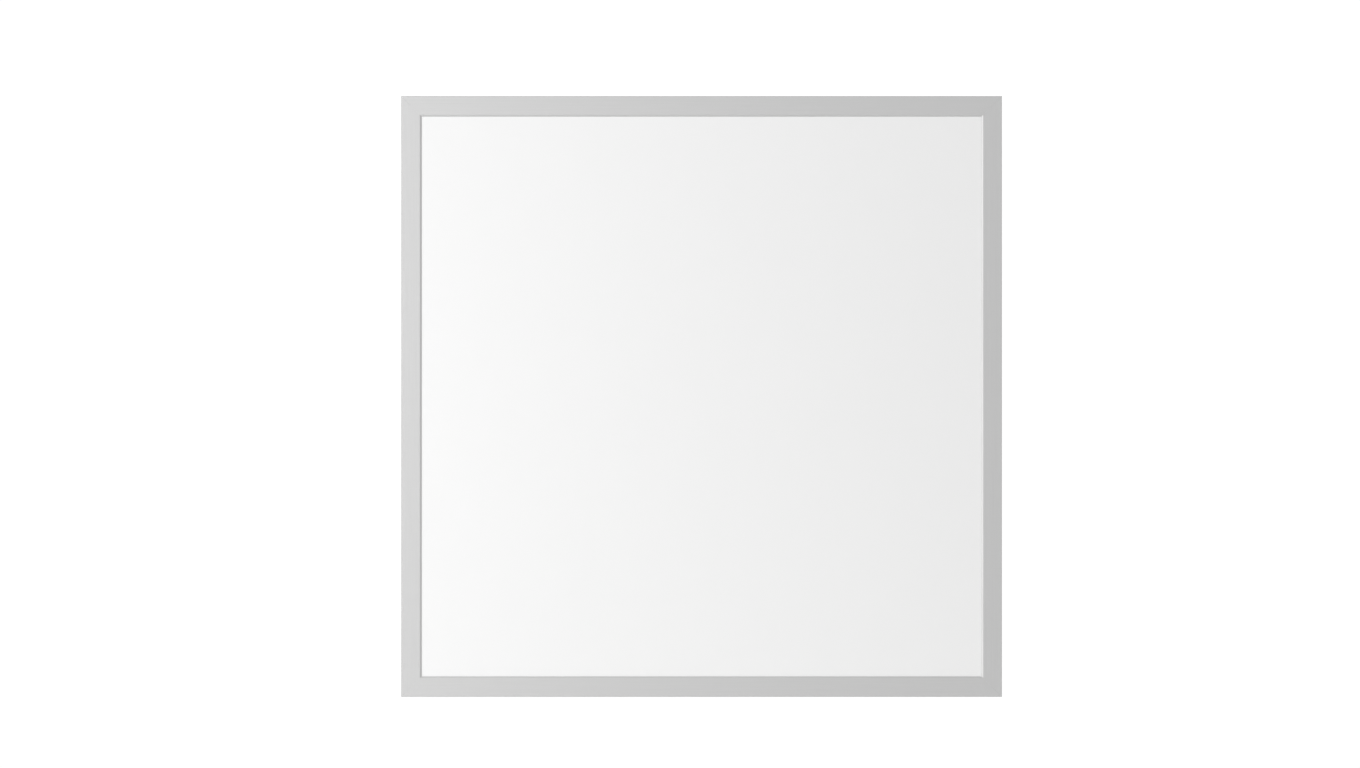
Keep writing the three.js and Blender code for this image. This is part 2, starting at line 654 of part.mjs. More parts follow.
function trayBody() {
  const outer = plate(roundedRectangle(CASE_LENGTH, CASE_HEIGHT, CASE_CORNER), CASE_Y, CASE_TOP_Y);
  const inside = roundedRectangle(
    CASE_LENGTH - 2 * CASE_WALL,
    CASE_HEIGHT - 2 * CASE_WALL,
    CASE_CORNER - CASE_WALL,
  );
  const ears = plate(
    roundedRectangle(CASE_LENGTH + 2 * EAR_LENGTH, EAR_WIDTH, EAR_CORNER),
    CASE_Y,
    CASE_Y + EAR_THICKNESS,
  );
  const shell = cut(join(outer, ears), plate(inside, FLOOR_Y, CASE_TOP_Y + THROUGH));
  const sunk = FLOOR_Y - ROOT;
  const standoffZ = PCB.height / 2 - STANDOFF_INSET.z;
  const standoffs = [BOARD_X0 + STANDOFF_INSET.x, BOARD_X1 - STANDOFF_INSET.x].flatMap((x) =>
    [-1, 1].map((s) => barY(STANDOFF_RADIUS, sunk, PCB_Y - SOLDER_GAP, x, s * standoffZ, HOLE_SIDES)),
  );
  const post = (s) => barY(POST.radius, sunk, FLOOR_Y + POST.height, POST_X, s * POST.z);
  const postBore = SCREW.shank / 2 + POST.holeClearance;
  const postHole = (s) =>
    barY(postBore, FLOOR_Y + CASE_WALL / 2, CASE_TOP_Y, POST_X, s * POST.z, HOLE_SIDES);
  const entryY = FLOOR_Y + ENTRY_ABOVE_FLOOR + ENTRY_DEPTH / 2;
  const entryShape = roundedRectangle(ENTRY_DEPTH, ENTRY_WIDTH, ENTRY_CORNER, entryY, 0);
  const entry = plateX(entryShape, CASE_X - CASE_WALL - THROUGH, CASE_X + THROUGH);
  const earHole = SCREW.shank / 2 + EAR_HOLE_CLEARANCE;
  return cut(
    join(shell, ...standoffs, post(-1), post(1), ...TRAY_KNUCKLES.map(trayKnuckle)),
    pinHole(),
    entry,
    postHole(-1),
    postHole(1),
    ...SNAPS.map(snapWindow),
    roundHole(GROMMET_X, 0, GROMMET.flange + GROMMET_CLEARANCE),
    ...[-1, 1].map((s) => roundHole(s * EAR_SCREW_X, EAR_SCREW_Z, earHole)),
  );
}

const LIP_OUT_Z = CASE_Z - CASE_WALL - FIT;
const LIP_OUT_X = CASE_X - CASE_WALL - FIT;

// A lip under a cover along X at one of the long walls, or along Z at one end.
function lipAlongX(x0, x1, s) {
  const [z0, z1] = [LIP_OUT_Z - LIP_THICKNESS, LIP_OUT_Z].map((z) => z * s).sort((a, b) => a - b);
  return block(x0, x1, LID_Y - LIP_DEPTH, LID_Y + ROOT, z0, z1);
}

function lipAlongZ(z0, z1, s) {
  const [x0, x1] = [LIP_OUT_X - LIP_THICKNESS, LIP_OUT_X].map((x) => x * s).sort((a, b) => a - b);
  return block(x0, x1, LID_Y - LIP_DEPTH, LID_Y + ROOT, z0, z1);
}

// The whole top of the case, which the cover and the lid share.
function topPlate(x0, x1) {
  const top = LID_Y + LID_THICKNESS;
  const whole = plate(roundedRectangle(CASE_LENGTH, CASE_HEIGHT, CASE_CORNER), LID_Y, top);
  const half = CASE_Z + THROUGH;
  return whole.intersect(block(x0, x1, LID_Y - THROUGH, top + THROUGH, -half, half));
}

function caseCoverBody() {
  const x1 = LID_X0 - FIT;
  const x0 = x1 - BARRIER_THICKNESS;
  const barrier = block(x0, x1, PCB_TOP_Y + FIT, LID_Y + ROOT, -LIP_OUT_Z, LIP_OUT_Z);
  const vent = (i) => {
    const x = -CASE_X + VENT.fromEnd + i * VENT.pitch;
    const half = VENT.length / 2;
    const [below, above] = [LID_Y - THROUGH, LID_Y + LID_THICKNESS + THROUGH];
    return block(x, x + VENT.width, below, above, -half, half);
  };
  const [lipX, lipZ] = [LIP_OUT_X - LIP_END_GAP.cover, LIP_OUT_Z - LIP_END_GAP.cover];
  return cut(
    join(
      topPlate(-CASE_X, x1),
      barrier,
      lipAlongX(-lipX, x1 - BARRIER_THICKNESS / 2, 1),
      lipAlongX(-lipX, x1 - BARRIER_THICKNESS / 2, -1),
      lipAlongZ(-lipZ, lipZ, -1),
      ...SNAPS.map(snapHook),
    ),
    ...Array.from({ length: VENT_COUNT }, (_, i) => vent(i)),
  );
}

function lidBody() {
  const knuckle = ([a, b]) => {
    const [x0, x1] = [LID_X0 + a, LID_X0 + b];
    return join(
      barX(KNUCKLE_RADIUS, x0, x1, HINGE_Y, HINGE_Z),
      block(x0, x1, LID_Y, LID_Y + LID_THICKNESS, CASE_Z - CASE_WALL, HINGE_Z),
    );
  };
  const top = LID_Y + LID_THICKNESS;
  const { radius, depth, reach } = THUMB_NOTCH;
  const notchZ = -CASE_Z + reach - radius;
  const notch = barY(radius, top - depth, top + THROUGH, LID_X0 + LID_LENGTH / 2, notchZ, NOTCH_SIDES);
  const [lipX, lipZ] = [LIP_OUT_X - LIP_END_GAP.lid, LIP_OUT_Z - LIP_END_GAP.lid];
  return cut(
    join(
      topPlate(LID_X0, CASE_X),
      lipAlongX(LID_X0 + LIP_END_GAP.lid, lipX, -1),
      lipAlongZ(-lipZ, lipZ, 1),
      ...LID_KNUCKLES.map(knuckle),
    ),
    pinHole(),
    notch,
  );
}

// ---------------------------------------------------------------- driver board

function terminalBody() {
  const { depth, pole, endWall } = TERMINAL;
  const { bore, depth: reach, lift } = WIRE_ENTRY;
  const half = (pole * TERMINAL.poles) / 2 + endWall;
  const top = PART_Y + depth;
  const pocket = (z) => {
    const [w, h] = [BUTTON.width / 2 + FIT, BUTTON.height / 2 + FIT];
    const bottom = BUTTON_TOP_Y - BUTTON.length - BUTTON.travel - FIT;
    return block(BUTTON_X - w, BUTTON_X + w, bottom, top + THROUGH, z - h, z + h);
  };
  const wireHole = (z) =>
    barX(bore / 2, TERMINAL_X1 - reach, TERMINAL_X1 + THROUGH, PART_Y + lift, z, HOLE_SIDES);
  const poles = [-pole, 0, pole];
  const body = block(TERMINAL_X0, TERMINAL_X1, PART_Y, top, -half, half);
  return cut(body, ...poles.map(pocket), ...poles.map(wireHole));
}

function buttonBody(z) {
  const half = BUTTON.height / 2;
  const [x0, x1] = [BUTTON_X - BUTTON.width / 2, BUTTON_X + BUTTON.width / 2];
  const body = block(x0, x1, BUTTON_TOP_Y - BUTTON.length, BUTTON_TOP_Y, z - half, z + half);
  const [slot, floor] = [BUTTON_SLOT.width / 2, BUTTON_TOP_Y - BUTTON_SLOT.depth];
  const above = BUTTON_TOP_Y + THROUGH;
  return cut(body, block(x0 - THROUGH, x1 + THROUGH, floor, above, z - slot, z + slot));
}

// An E core, seen along Y: a box with two windows beside its centre leg.
function coreBody() {
  const { x0, x1, height, depth, lift, leg, centreLeg, yoke } = CORE;
  const [y0, y1] = [PART_Y + lift, PART_Y + lift + depth];
  const middle = (x0 + x1) / 2;
  const z = height / 2 - yoke;
  const [below, above] = [y0 - THROUGH, y1 + THROUGH];
  return cut(
    block(x0, x1, y0, y1, -height / 2, height / 2),
    block(x0 + leg, middle - centreLeg / 2, below, above, -z, z),
    block(middle + centreLeg / 2, x1 - leg, below, above, -z, z),
  );
}

function windingBody() {
  const middle = (CORE.x0 + CORE.x1) / 2;
  const centre = PART_Y + CORE.lift + CORE.depth / 2;
  const [w, d, h] = [WINDING.width / 2, WINDING.depth / 2, WINDING.height / 2];
  const [legX, legY] = [CORE.centreLeg / 2 + FIT, CORE.depth / 2 + FIT];
  const past = h + THROUGH;
  return cut(
    block(middle - w, middle + w, centre - d, centre + d, -h, h),
    block(middle - legX, middle + legX, centre - legY, centre + legY, -past, past),
  );
}

function capacitorBody({ radius, length, x, z }) {
  const y = PART_Y + radius + SOLDER_GAP;
  const shoulder = x + length - CAN_END.length;
  return join(
    barX(radius, x, shoulder, y, z, CAN_SIDES),
    barX(radius - CAN_END.step, shoulder - ROOT, x + length, y, z, CAN_SIDES),
  );
}

function chokeBody() {
  const ring = new THREE.TorusGeometry(CHOKE.radius, CHOKE.wire, 8, CAN_SIDES).rotateX(Math.PI / 2);
  return solid(ring.translate(CHOKE.x, PART_Y + CHOKE.wire + SOLDER_GAP, CHOKE.z));
}

const SOCKET_LEAD_Y = PART_Y + OUTPUT_SOCKET.depth / 2;

function outputSocketBody() {
  const { length, height, depth, entryDepth, clearance } = OUTPUT_SOCKET;
  const [x0, x1] = [BOARD_X0, BOARD_X0 + length];
  const entry = (z) => {
    const [d, h] = [LEAD_THICKNESS / 2 + clearance, LEAD_WIDTH / 2 + clearance];
    return block(x0 - THROUGH, x0 + entryDepth, SOCKET_LEAD_Y - d, SOCKET_LEAD_Y + d, z - h, z + h);
  };
  const body = block(x0, x1, PART_Y, PART_Y + depth, -height / 2, height / 2);
  return cut(body, entry(-LEAD_Z), entry(LEAD_Z));
}

function boardBody() {
  return block(BOARD_X0, BOARD_X1, PCB_Y, PCB_TOP_Y, -PCB.height / 2, PCB.height / 2);
}

// ---------------------------------------------------------------- cable clamp

function clampBody() {
  const { width, length, thickness, corner } = CLAMP;
  const { height, width: ridgeWidth, spacing, fromPost } = CLAMP_RIDGE;
  const top = CLAMP_Y + thickness;
  const bar = plate(roundedRectangle(width, length, corner, POST_X, 0), CLAMP_Y, top);
  const ridge = (s) => {
    const [x, half] = [POST_X + (s * spacing) / 2, ridgeWidth / 2];
    const end = POST.z - fromPost;
    return block(x - half, x + half, CLAMP_Y - height, CLAMP_Y + ROOT, -end, end);
  };
  const bore = SCREW.shank / 2 + CLAMP_HOLE_CLEARANCE;
  const hole = (s) => barY(bore, CLAMP_Y - THROUGH, top + THROUGH, POST_X, s * POST.z, HOLE_SIDES);
  return cut(join(bar, ridge(-1), ridge(1)), hole(-1), hole(1));
}

// ---------------------------------------------------------------- leads

// A route of runs and bends in which each one gets the same number of steps, whatever its length.
class Route extends THREE.Curve {
  constructor(parts) {
    super();
    this.parts = parts;
  }

  find(t) {
    const place = Math.min(t, 1 - 1e-9) * this.parts.length;
    return [this.parts[Math.floor(place)], place % 1];
  }

  getPointAt(t, target) {
    const [part, along] = this.find(t);
    return part.getPoint(along, target);
  }

  getTangentAt(t, target) {
    const [part, along] = this.find(t);
    return part.getTangent(along, target);
  }
}

const LEAD_STEPS = 6; // in each run and bend of the route
const STRIP_GAP = 0.3; // from the lead's end to the board that it is soldered to
const LEAD_FLAT = 0.05; // half of the flat that is left on a lead's rounded edge

// From the output socket, down through the grommet, and along the foam's groove to a strip.
function leadBody(s) {
  const z = -s * LEAD_Z;
  const r = LEAD_BEND;
  const end = s * (HALF_X - CHIP_IN - STRIP_GAP);
  const socketX = BOARD_X0 + OUTPUT_SOCKET.entryDepth - FIT;
  const at = (x, y) => new THREE.Vector3(x, y, z);
  const line = (a, b) => new THREE.LineCurve3(a, b);
  const bend = (a, corner, b) => new THREE.QuadraticBezierCurve3(a, corner, b);
  const fromSocket = at(GROMMET_X + r, SOCKET_LEAD_Y);
  const down = at(GROMMET_X, SOCKET_LEAD_Y - r);
  const intoGroove = at(GROMMET_X, LEAD_Y + r);
  const alongGroove = at(GROMMET_X + s * r, LEAD_Y);
  const route = new Route([
    line(at(socketX, SOCKET_LEAD_Y), fromSocket),
    bend(fromSocket, at(GROMMET_X, SOCKET_LEAD_Y), down),
    line(down, intoGroove),
    bend(intoGroove, at(GROMMET_X, LEAD_Y), alongGroove),
    line(alongGroove, at(end, LEAD_Y)),
  ]);
  const section = roundedRectangle(LEAD_WIDTH, LEAD_THICKNESS, LEAD_THICKNESS / 2 - LEAD_FLAT);
  const steps = LEAD_STEPS * route.parts.length;
  return solid(new THREE.ExtrudeGeometry(section, { steps, extrudePath: route, curveSegments: 2 }));
}

// ---------------------------------------------------------------- the whole

function frameAndCover() {
  const group = new THREE.Group();
  group.add(
    side("left", 0, PANEL_HEIGHT, HALF_X, true),
    side("top", 1, PANEL_WIDTH, HALF_Z, false),
    side("right", 2, PANEL_HEIGHT, HALF_X, true),
    side("bottom", 3, PANEL_WIDTH, HALF_Z, false),
    cornerKey("bottom_left", 0, -HALF_X, -HALF_Z),
    cornerKey("top_left", 1, -HALF_X, HALF_Z),
    cornerKey("top_right", 2, HALF_X, HALF_Z),
    cornerKey("bottom_right", 3, HALF_X, -HALF_Z),
    piece("back_cover", coverBody(), whiteSteel),
    piece("cable_grommet", grommetBody(), rubber),
    ...hangerPlaces.map(([name, x, z]) => hangerNut(name, x, z)),
  );
  return group;
}

function opticalStack() {
  const plainIn = HEATSINK_IN + EXPANSION_GAP;
  const group = new THREE.Group();
  group.add(
    sheet("diffuser", DIFFUSER_IN, DIFFUSER_IN, DIFFUSER_Y, DIFFUSER_THICKNESS, opal),
    sheet("light_guide", GUIDE_IN, plainIn, GUIDE_Y, GUIDE_THICKNESS, acrylic),
    sheet("reflector_sheet", GUIDE_IN, plainIn, REFLECTOR_Y, REFLECTOR_THICKNESS, reflectiveFilm),
    piece("foam_sheet", foamBody(), foam),
  );
  return group;
}

function driver() {
  const group = new THREE.Group();
  const clampTop = CLAMP_Y + CLAMP.thickness;
  const earTop = CASE_Y + EAR_THICKNESS;
  const [pinX0, pinX1] = [LID_X0 + PIN_INSET, CASE_X - PIN_INSET];
  group.add(
    piece("driver_tray", trayBody(), casePlastic),
    piece("driver_cover", caseCoverBody(), casePlastic),
    piece("terminal_lid", lidBody(), casePlastic),
    piece("lid_hinge_pin", barX(PIN_RADIUS, pinX0, pinX1, HINGE_Y, HINGE_Z), zincPlated),
    piece("driver_board", boardBody(), greenBoard),
    piece("supply_terminal", terminalBody(), greyPlastic),
    piece("release_button_earth", buttonBody(-TERMINAL.pole), orangePlastic),
    piece("release_button_neutral", buttonBody(0), orangePlastic),
    piece("release_button_live", buttonBody(TERMINAL.pole), orangePlastic),
    piece("transformer_core", coreBody(), ferrite),
    piece("transformer_winding", windingBody(), tape),
    piece("input_capacitor", capacitorBody(INPUT_CAPACITOR), sleeve),
    piece("output_capacitor", capacitorBody(OUTPUT_CAPACITOR), sleeve),
    piece("input_choke", chokeBody(), ferrite),
    piece("output_socket", outputSocketBody(), opal),
    piece("cable_clamp", clampBody(), greyPlastic),
    piece("lead_left", leadBody(-1), leadSheath),
    piece("lead_right", leadBody(1), leadSheath),
    screw("clamp_screw_top", CLAMP.screwLength, POST_X, clampTop, POST.z),
    screw("clamp_screw_bottom", CLAMP.screwLength, POST_X, clampTop, -POST.z),
    screw("case_screw_left", CASE_SCREW_LENGTH, -EAR_SCREW_X, earTop, EAR_SCREW_Z),
    screw("case_screw_right", CASE_SCREW_LENGTH, EAR_SCREW_X, earTop, EAR_SCREW_Z),
  );
  return group;
}

const panel = new THREE.Group();
panel.add(frameAndCover(), opticalStack(), driver());

export default panel;
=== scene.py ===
"""A square edge-lit LED panel light: the finished shape and surface of each of its pieces.

The panel stands on edge with its lit face towards -Y. Its driver is on the back, towards +Y.
"""

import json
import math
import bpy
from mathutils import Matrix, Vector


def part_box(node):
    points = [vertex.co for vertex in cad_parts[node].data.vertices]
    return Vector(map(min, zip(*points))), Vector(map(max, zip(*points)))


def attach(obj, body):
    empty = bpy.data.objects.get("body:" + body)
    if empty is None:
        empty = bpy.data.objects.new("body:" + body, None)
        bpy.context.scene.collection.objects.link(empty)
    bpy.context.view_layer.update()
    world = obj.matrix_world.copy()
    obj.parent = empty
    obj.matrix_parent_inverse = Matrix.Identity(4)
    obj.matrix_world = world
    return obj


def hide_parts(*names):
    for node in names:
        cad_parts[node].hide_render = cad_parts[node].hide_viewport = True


bl_info = {
    "name": "LED panel light",
    "version": (1, 0, 0),
    "blender": (4, 5, 0),
    "location": "View3D > Sidebar > Panel light",
    "description": "Models and finishes the pieces of an edge-lit LED ceiling panel around its frame",
    "category": "Object",
}

from contextlib import contextmanager
from functools import cache

import bmesh
import bpy
from mathutils import Vector

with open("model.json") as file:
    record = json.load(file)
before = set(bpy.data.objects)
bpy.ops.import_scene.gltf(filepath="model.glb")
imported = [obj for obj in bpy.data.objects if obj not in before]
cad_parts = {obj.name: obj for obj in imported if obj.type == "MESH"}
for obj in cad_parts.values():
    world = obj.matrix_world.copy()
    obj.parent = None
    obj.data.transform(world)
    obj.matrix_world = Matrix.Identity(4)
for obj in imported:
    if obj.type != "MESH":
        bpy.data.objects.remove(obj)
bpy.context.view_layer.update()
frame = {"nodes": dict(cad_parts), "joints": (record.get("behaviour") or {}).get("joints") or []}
JOINTS = {joint["name"]: joint for joint in frame["joints"]}

MM = 0.001
DEGREE = math.pi / 180
TINY = 0.01 * MM
PAST = 1 * MM  # how far a cutting tool runs past a piece, or a joined part runs into it
ROOT = 0.5 * MM  # how far a lip or ridge is sunk into the plate that carries it
FACING = 0.9  # a face looks along an axis when its normal's share of it is larger

# ---------------------------------------------------------------- sizes taken from the frame

SIDE = {node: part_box(node) for node in frame["nodes"]}


def low(node):
    return SIDE[node][0]


def high(node):
    return SIDE[node][1]


def middle_of(node):
    return (low(node) + high(node)) / 2


FILM_GAP = 0.1 * MM
FIT = 0.3 * MM
WALL = 1.4 * MM
CHANNEL_WIDTH = 7.8 * MM
CHANNEL_DEPTH = 3.6 * MM
SLOT_WIDTH = 2.6 * MM
HEATSINK = WALL + CHANNEL_WIDTH + WALL
SEAT_Y = high("foam_sheet").y + FILM_GAP
COVER_Y = SEAT_Y + 0.5 * MM
FRAME_DEPTH = high("frame_rail_left").y
HALF_X = high("frame_rail_right").x
HALF_Z = high("frame_rail_top").z

CASE_X = -low("driver_cover").x
CASE_Z = -low("driver_cover").z
CASE_FOOT = low("driver_tray").y
CASE_TOP = high("driver_cover").y
CASE_WALL = 2 * MM
CASE_CORNER = 4 * MM
CASE_FLOOR = CASE_FOOT + CASE_WALL
LID_THICKNESS = 2 * MM
LID_Y = CASE_TOP - LID_THICKNESS
CASE_RIM = LID_Y - FIT
LIP_THICKNESS = 1.4 * MM
LIP_DEPTH = 3 * MM
LIP_X = CASE_X - CASE_WALL - FIT
LIP_Z = CASE_Z - CASE_WALL - FIT
HINGE = Vector(JOINTS["lid_hinge"]["pos_m"])
KNUCKLE_RADIUS = 2.2 * MM
KNUCKLE_BORE = 1.08 * MM

# ---------------------------------------------------------------- modelling by hand


def deselect():
    bpy.ops.object.select_all(action="DESELECT")


def activate(piece):
    deselect()
    piece.select_set(True)
    bpy.context.view_layer.objects.active = piece


@contextmanager
def editing(piece):
    """Edit mode on the piece, with nothing selected."""
    activate(piece)
    bpy.ops.object.mode_set(mode="EDIT")
    bpy.ops.mesh.select_mode(type="VERT")
    bpy.ops.mesh.select_all(action="DESELECT")
    yield
    bpy.ops.object.mode_set(mode="OBJECT")


def select_all():
    bpy.ops.mesh.select_all(action="SELECT")


def extrude(travel):
    bpy.ops.mesh.extrude_region_move(TRANSFORM_OT_translate={"value": travel})


def pick(piece, kind, test):
    """Selects the edges or faces that pass the test."""
    bpy.ops.mesh.select_mode(type=kind)
    bpy.ops.mesh.select_all(action="DESELECT")
    mesh = bmesh.from_edit_mesh(piece.data)
    mesh.normal_update()
    for element in mesh.edges if kind == "EDGE" else mesh.faces:
        element.select_set(test(element))
    bmesh.update_edit_mesh(piece.data)


def pick_edges(piece, test):
    """Selects the edges whose two ends pass the test."""
    pick(piece, "EDGE", lambda edge: test(*(corner.co for corner in edge.verts)))


def pick_faces(piece, test):
    """Selects the faces whose middle and normal pass the test."""
    pick(piece, "FACE", lambda face: test(face.calc_center_median(), face.normal))


def pick_open_edges(piece, test):
    """Selects the edges that have one face or none, and whose middle passes the test."""

    def open_and_passing(edge):
        middle = (edge.verts[0].co + edge.verts[1].co) / 2
        return len(edge.link_faces) < 2 and test(middle)

    pick(piece, "EDGE", open_and_passing)


def settle(name):
    """Names the piece that was just added, and puts its place in its mesh."""
    piece = bpy.context.object
    piece.name = name
    piece.data.name = name
    bpy.ops.object.transform_apply(location=True, rotation=True, scale=True)
    return piece


def block(name, lowest, highest):
    lowest, highest = Vector(lowest), Vector(highest)
    deselect()
    middle = (lowest + highest) / 2
    bpy.ops.mesh.primitive_cube_add(size=1, location=middle, scale=highest - lowest)
    return settle(name)


TURNS = {"X": (0, math.pi / 2, 0), "Y": (math.pi / 2, 0, 0), "Z": (0, 0, 0)}


def rod(name, axis, radius, start, end, sides=32):
    """A round bar from start to end, which lie on a line along the axis."""
    start, end = Vector(start), Vector(end)
    deselect()
    bpy.ops.mesh.primitive_cylinder_add(
        vertices=sides,
        radius=radius,
        depth=(end - start).length,
        location=(start + end) / 2,
        rotation=TURNS[axis],
    )
    return settle(name)


def draw(name, points, fill=True):
    """Extrudes a single vertex from point to point, and fills the outline."""
    points = [Vector(point) for point in points]
    deselect()
    bpy.ops.mesh.primitive_plane_add(size=MM, location=points[0])
    piece = settle(name)
    with editing(piece):
        select_all()
        bpy.ops.mesh.merge(type="CENTER")
        for before, after in zip(points, points[1:]):
            extrude(after - before)
        if fill:
            select_all()
            bpy.ops.mesh.edge_face_add()
    return piece


def outward(piece):
    """Merges doubled vertices and turns every face outwards."""
    with editing(piece):
        select_all()
        bpy.ops.mesh.remove_doubles(threshold=TINY / 10)
        bpy.ops.mesh.normals_make_consistent(inside=False)
    return piece


def prism(name, points, travel):
    """The outline through the points, extruded along travel."""
    piece = draw(name, points)
    with editing(piece):
        select_all()
        extrude(travel)
    return outward(piece)


def turned(name, profile, centre=(0, 0, 0), sides=32):
    """A profile of (radius, y) spun about Y through the centre. It starts and ends on the axis,
    or closes on itself."""
    centre = Vector(centre)
    closed = profile[0] == profile[-1]
    piece = draw(name, [centre + Vector((r, y, 0)) for r, y in profile], fill=False)
    with editing(piece):
        select_all()
        if closed:
            bpy.ops.mesh.remove_doubles(threshold=TINY / 10)
        bpy.ops.mesh.spin(steps=sides, angle=2 * math.pi, center=centre, axis=(0, 1, 0))
    return outward(piece)


def lay_along_x(piece, place):
    """Turns a piece that was spun about Y so that it runs along X from that place."""
    piece.rotation_euler = (0, 0, -math.pi / 2)
    piece.location = place
    activate(piece)
    return settle(piece.name)


def arc(centre, radius, start, end, steps):
    """Points of an arc as (across, along) pairs, with its angles in degrees."""
    angles = [(start + (end - start) * i / steps) * DEGREE for i in range(steps + 1)]
    return [(centre[0] + radius * math.cos(a), centre[1] + radius * math.sin(a)) for a in angles]


def apply_modifier(piece, kind, **settings):
    modifier = piece.modifiers.new(kind, kind)
    for key, value in settings.items():
        setattr(modifier, key, value)
    activate(piece)
    bpy.ops.object.modifier_apply(modifier=modifier.name)


def combine(piece, tools, operation):
    for tool in tools:
        apply_modifier(piece, "BOOLEAN", object=tool, operation=operation, solver="EXACT")
        bpy.data.meshes.remove(tool.data)
    return piece


def weld(piece, *tools):
    return combine(piece, tools, "UNION")


def carve(piece, *tools):
    return combine(piece, tools, "DIFFERENCE")


def round_edges(piece, radius, test, segments=6):
    """Rounds the edges whose two ends pass the test."""
    with editing(piece):
        pick_edges(piece, test)
        bpy.ops.mesh.bevel(offset=radius, segments=segments, affect="EDGES", clamp_overlap=True)
    return piece


def upright(a, b):
    """True for an edge that runs along Y."""
    return abs(a.y - b.y) > TINY and abs(a.x - b.x) + abs(a.z - b.z) < TINY


def lengthwise(a, b):
    """True for an edge that runs along X."""
    return abs(a.x - b.x) > TINY


def smooth(piece, angle=38):
    activate(piece)
    bpy.ops.object.shade_smooth_by_angle(angle=angle * DEGREE)
    apply_modifier(piece, "WEIGHTED_NORMAL", keep_sharp=True, weight=60)
    return piece


def soften(piece, radius, segments=2, angle=32):
    """Gives every sharp edge the small radius that its tool or mould leaves."""
    with editing(piece):
        select_all()
        bpy.ops.mesh.remove_doubles(threshold=TINY)
        bpy.ops.mesh.dissolve_limited(angle_limit=0.5 * DEGREE)
    apply_modifier(
        piece,
        "BEVEL",
        width=radius,
        segments=segments,
        limit_method="ANGLE",
        angle_limit=angle * DEGREE,
        use_clamp_overlap=True,
    )
    return smooth(piece)


def join(name, *pieces):
    activate(pieces[0])
    for piece in pieces:
        piece.select_set(True)
    if len(pieces) > 1:
        bpy.ops.object.join()
    pieces[0].name = name
    pieces[0].data.name = name
    return pieces[0]


def copy_of(piece, name, move=(0, 0, 0), turn_y=0):
    """A copy with its own mesh, turned about Y through the origin and then moved."""
    activate(piece)
    bpy.ops.object.duplicate(linked=False)
    copy = bpy.context.object
    copy.rotation_euler = (0, turn_y, 0)
    copy.location = move
    return settle(name)


def softened_copy(node, name, radius, segments=2):
    """A frame node's own shape, with its edges rounded."""
    piece = copy_of(frame["nodes"][node], name)
    piece.parent = None
    return soften(outward(piece), radius, segments)


def finish(piece, material, nodes=(), body="panel"):
    """Gives the piece its surface and its body, and hides the frame nodes that it stands for."""
    if material is not None:
        piece.data.materials.clear()
        piece.data.materials.append(material)
    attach(piece, body)
    if nodes:
        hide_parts(*nodes)
    return piece


def dress(node, material):
    """Gives a frame node its surface."""
    mesh = frame["nodes"][node].data
    mesh.materials.clear()
    mesh.materials.append(material)


# ---------------------------------------------------------------- surfaces


def linear(colour):
    """An sRGB hex colour as the linear numbers that the shaders take."""
    channels = [int(colour[i : i + 2], 16) / 255 for i in (1, 3, 5)]
    return [c / 12.92 if c <= 0.04045 else ((c + 0.055) / 1.055) ** 2.4 for c in channels] + [1.0]


def add(tree, kind, settings=None, links=None):
    """Adds a node, sets its properties and sockets, and links its inputs."""
    node = tree.nodes.new(kind)
    for key, value in (settings or {}).items():
        if key in node.inputs:
            node.inputs[key].default_value = value
        else:
            setattr(node, key, value)
    for key, source in (links or {}).items():
        tree.links.new(source, node.inputs[key])
    return node


def shader_of(material):
    return material.node_tree.nodes["Principled BSDF"]


def surface(name, colour, **settings):
    """A new material with one colour and the given sockets set."""
    material = bpy.data.materials.new(name)
    material.use_nodes = True
    shader = shader_of(material)
    shader.inputs["Base Color"].default_value = linear(colour)
    for key, value in settings.items():
        shader.inputs[key.replace("_", " ").title().replace("Ior", "IOR")].default_value = value
    return material


def on_object(material):
    return add(material.node_tree, "ShaderNodeTexCoord").outputs["Object"]


def cloud(material, size, stretch=(1, 1, 1), detail=2.0):
    """A soft random pattern with spots of about that size, drawn out along the axes by stretch."""
    tree = material.node_tree
    scale = [1 / (size * factor) for factor in stretch]
    mapping = add(tree, "ShaderNodeMapping", {"Scale": scale}, {"Vector": on_object(material)})
    vector = mapping.outputs["Vector"]
    noise = add(tree, "ShaderNodeTexNoise", {"Scale": 1.0, "Detail": detail}, {"Vector": vector})
    return noise.outputs["Fac"]


def relief(material, height, depth):
    """Makes the pattern stand up to that depth out of the surface."""
    tree = material.node_tree
    bump = add(tree, "ShaderNodeBump", {"Distance": depth, "Strength": 1.0}, {"Height": height})
    tree.links.new(bump.outputs["Normal"], shader_of(material).inputs["Normal"])


def tint(material, pattern, dark, light, start=0.3, end=0.7):
    """Colours the surface from dark to light as the pattern goes from start to end."""
    tree = material.node_tree
    ramp = add(tree, "ShaderNodeValToRGB", links={"Fac": pattern})
    for stop, place, colour in zip(ramp.color_ramp.elements, (start, end), (dark, light)):
        stop.position = place
        stop.color = linear(colour)
    tree.links.new(ramp.outputs["Color"], shader_of(material).inputs["Base Color"])


def vary_gloss(material, pattern, smoothest, roughest):
    tree = material.node_tree
    spread = add(
        tree,
        "ShaderNodeMapRange",
        {"From Min": 0.3, "From Max": 0.7, "To Min": smoothest, "To Max": roughest},
        {"Value": pattern},
    )
    tree.links.new(spread.outputs["Result"], shader_of(material).inputs["Roughness"])


ALONG = {"X": (60, 1, 1), "Z": (1, 1, 60)}
# Dyed polyamides: name, colour, colour of the darker blotches.
GREY = ("grey", "#b9bbbc", "#b2b4b5")
WHITE = ("white", "#f4f4f0", "#efefea")
ORANGE = ("orange", "#dd7322", "#d66c1d")


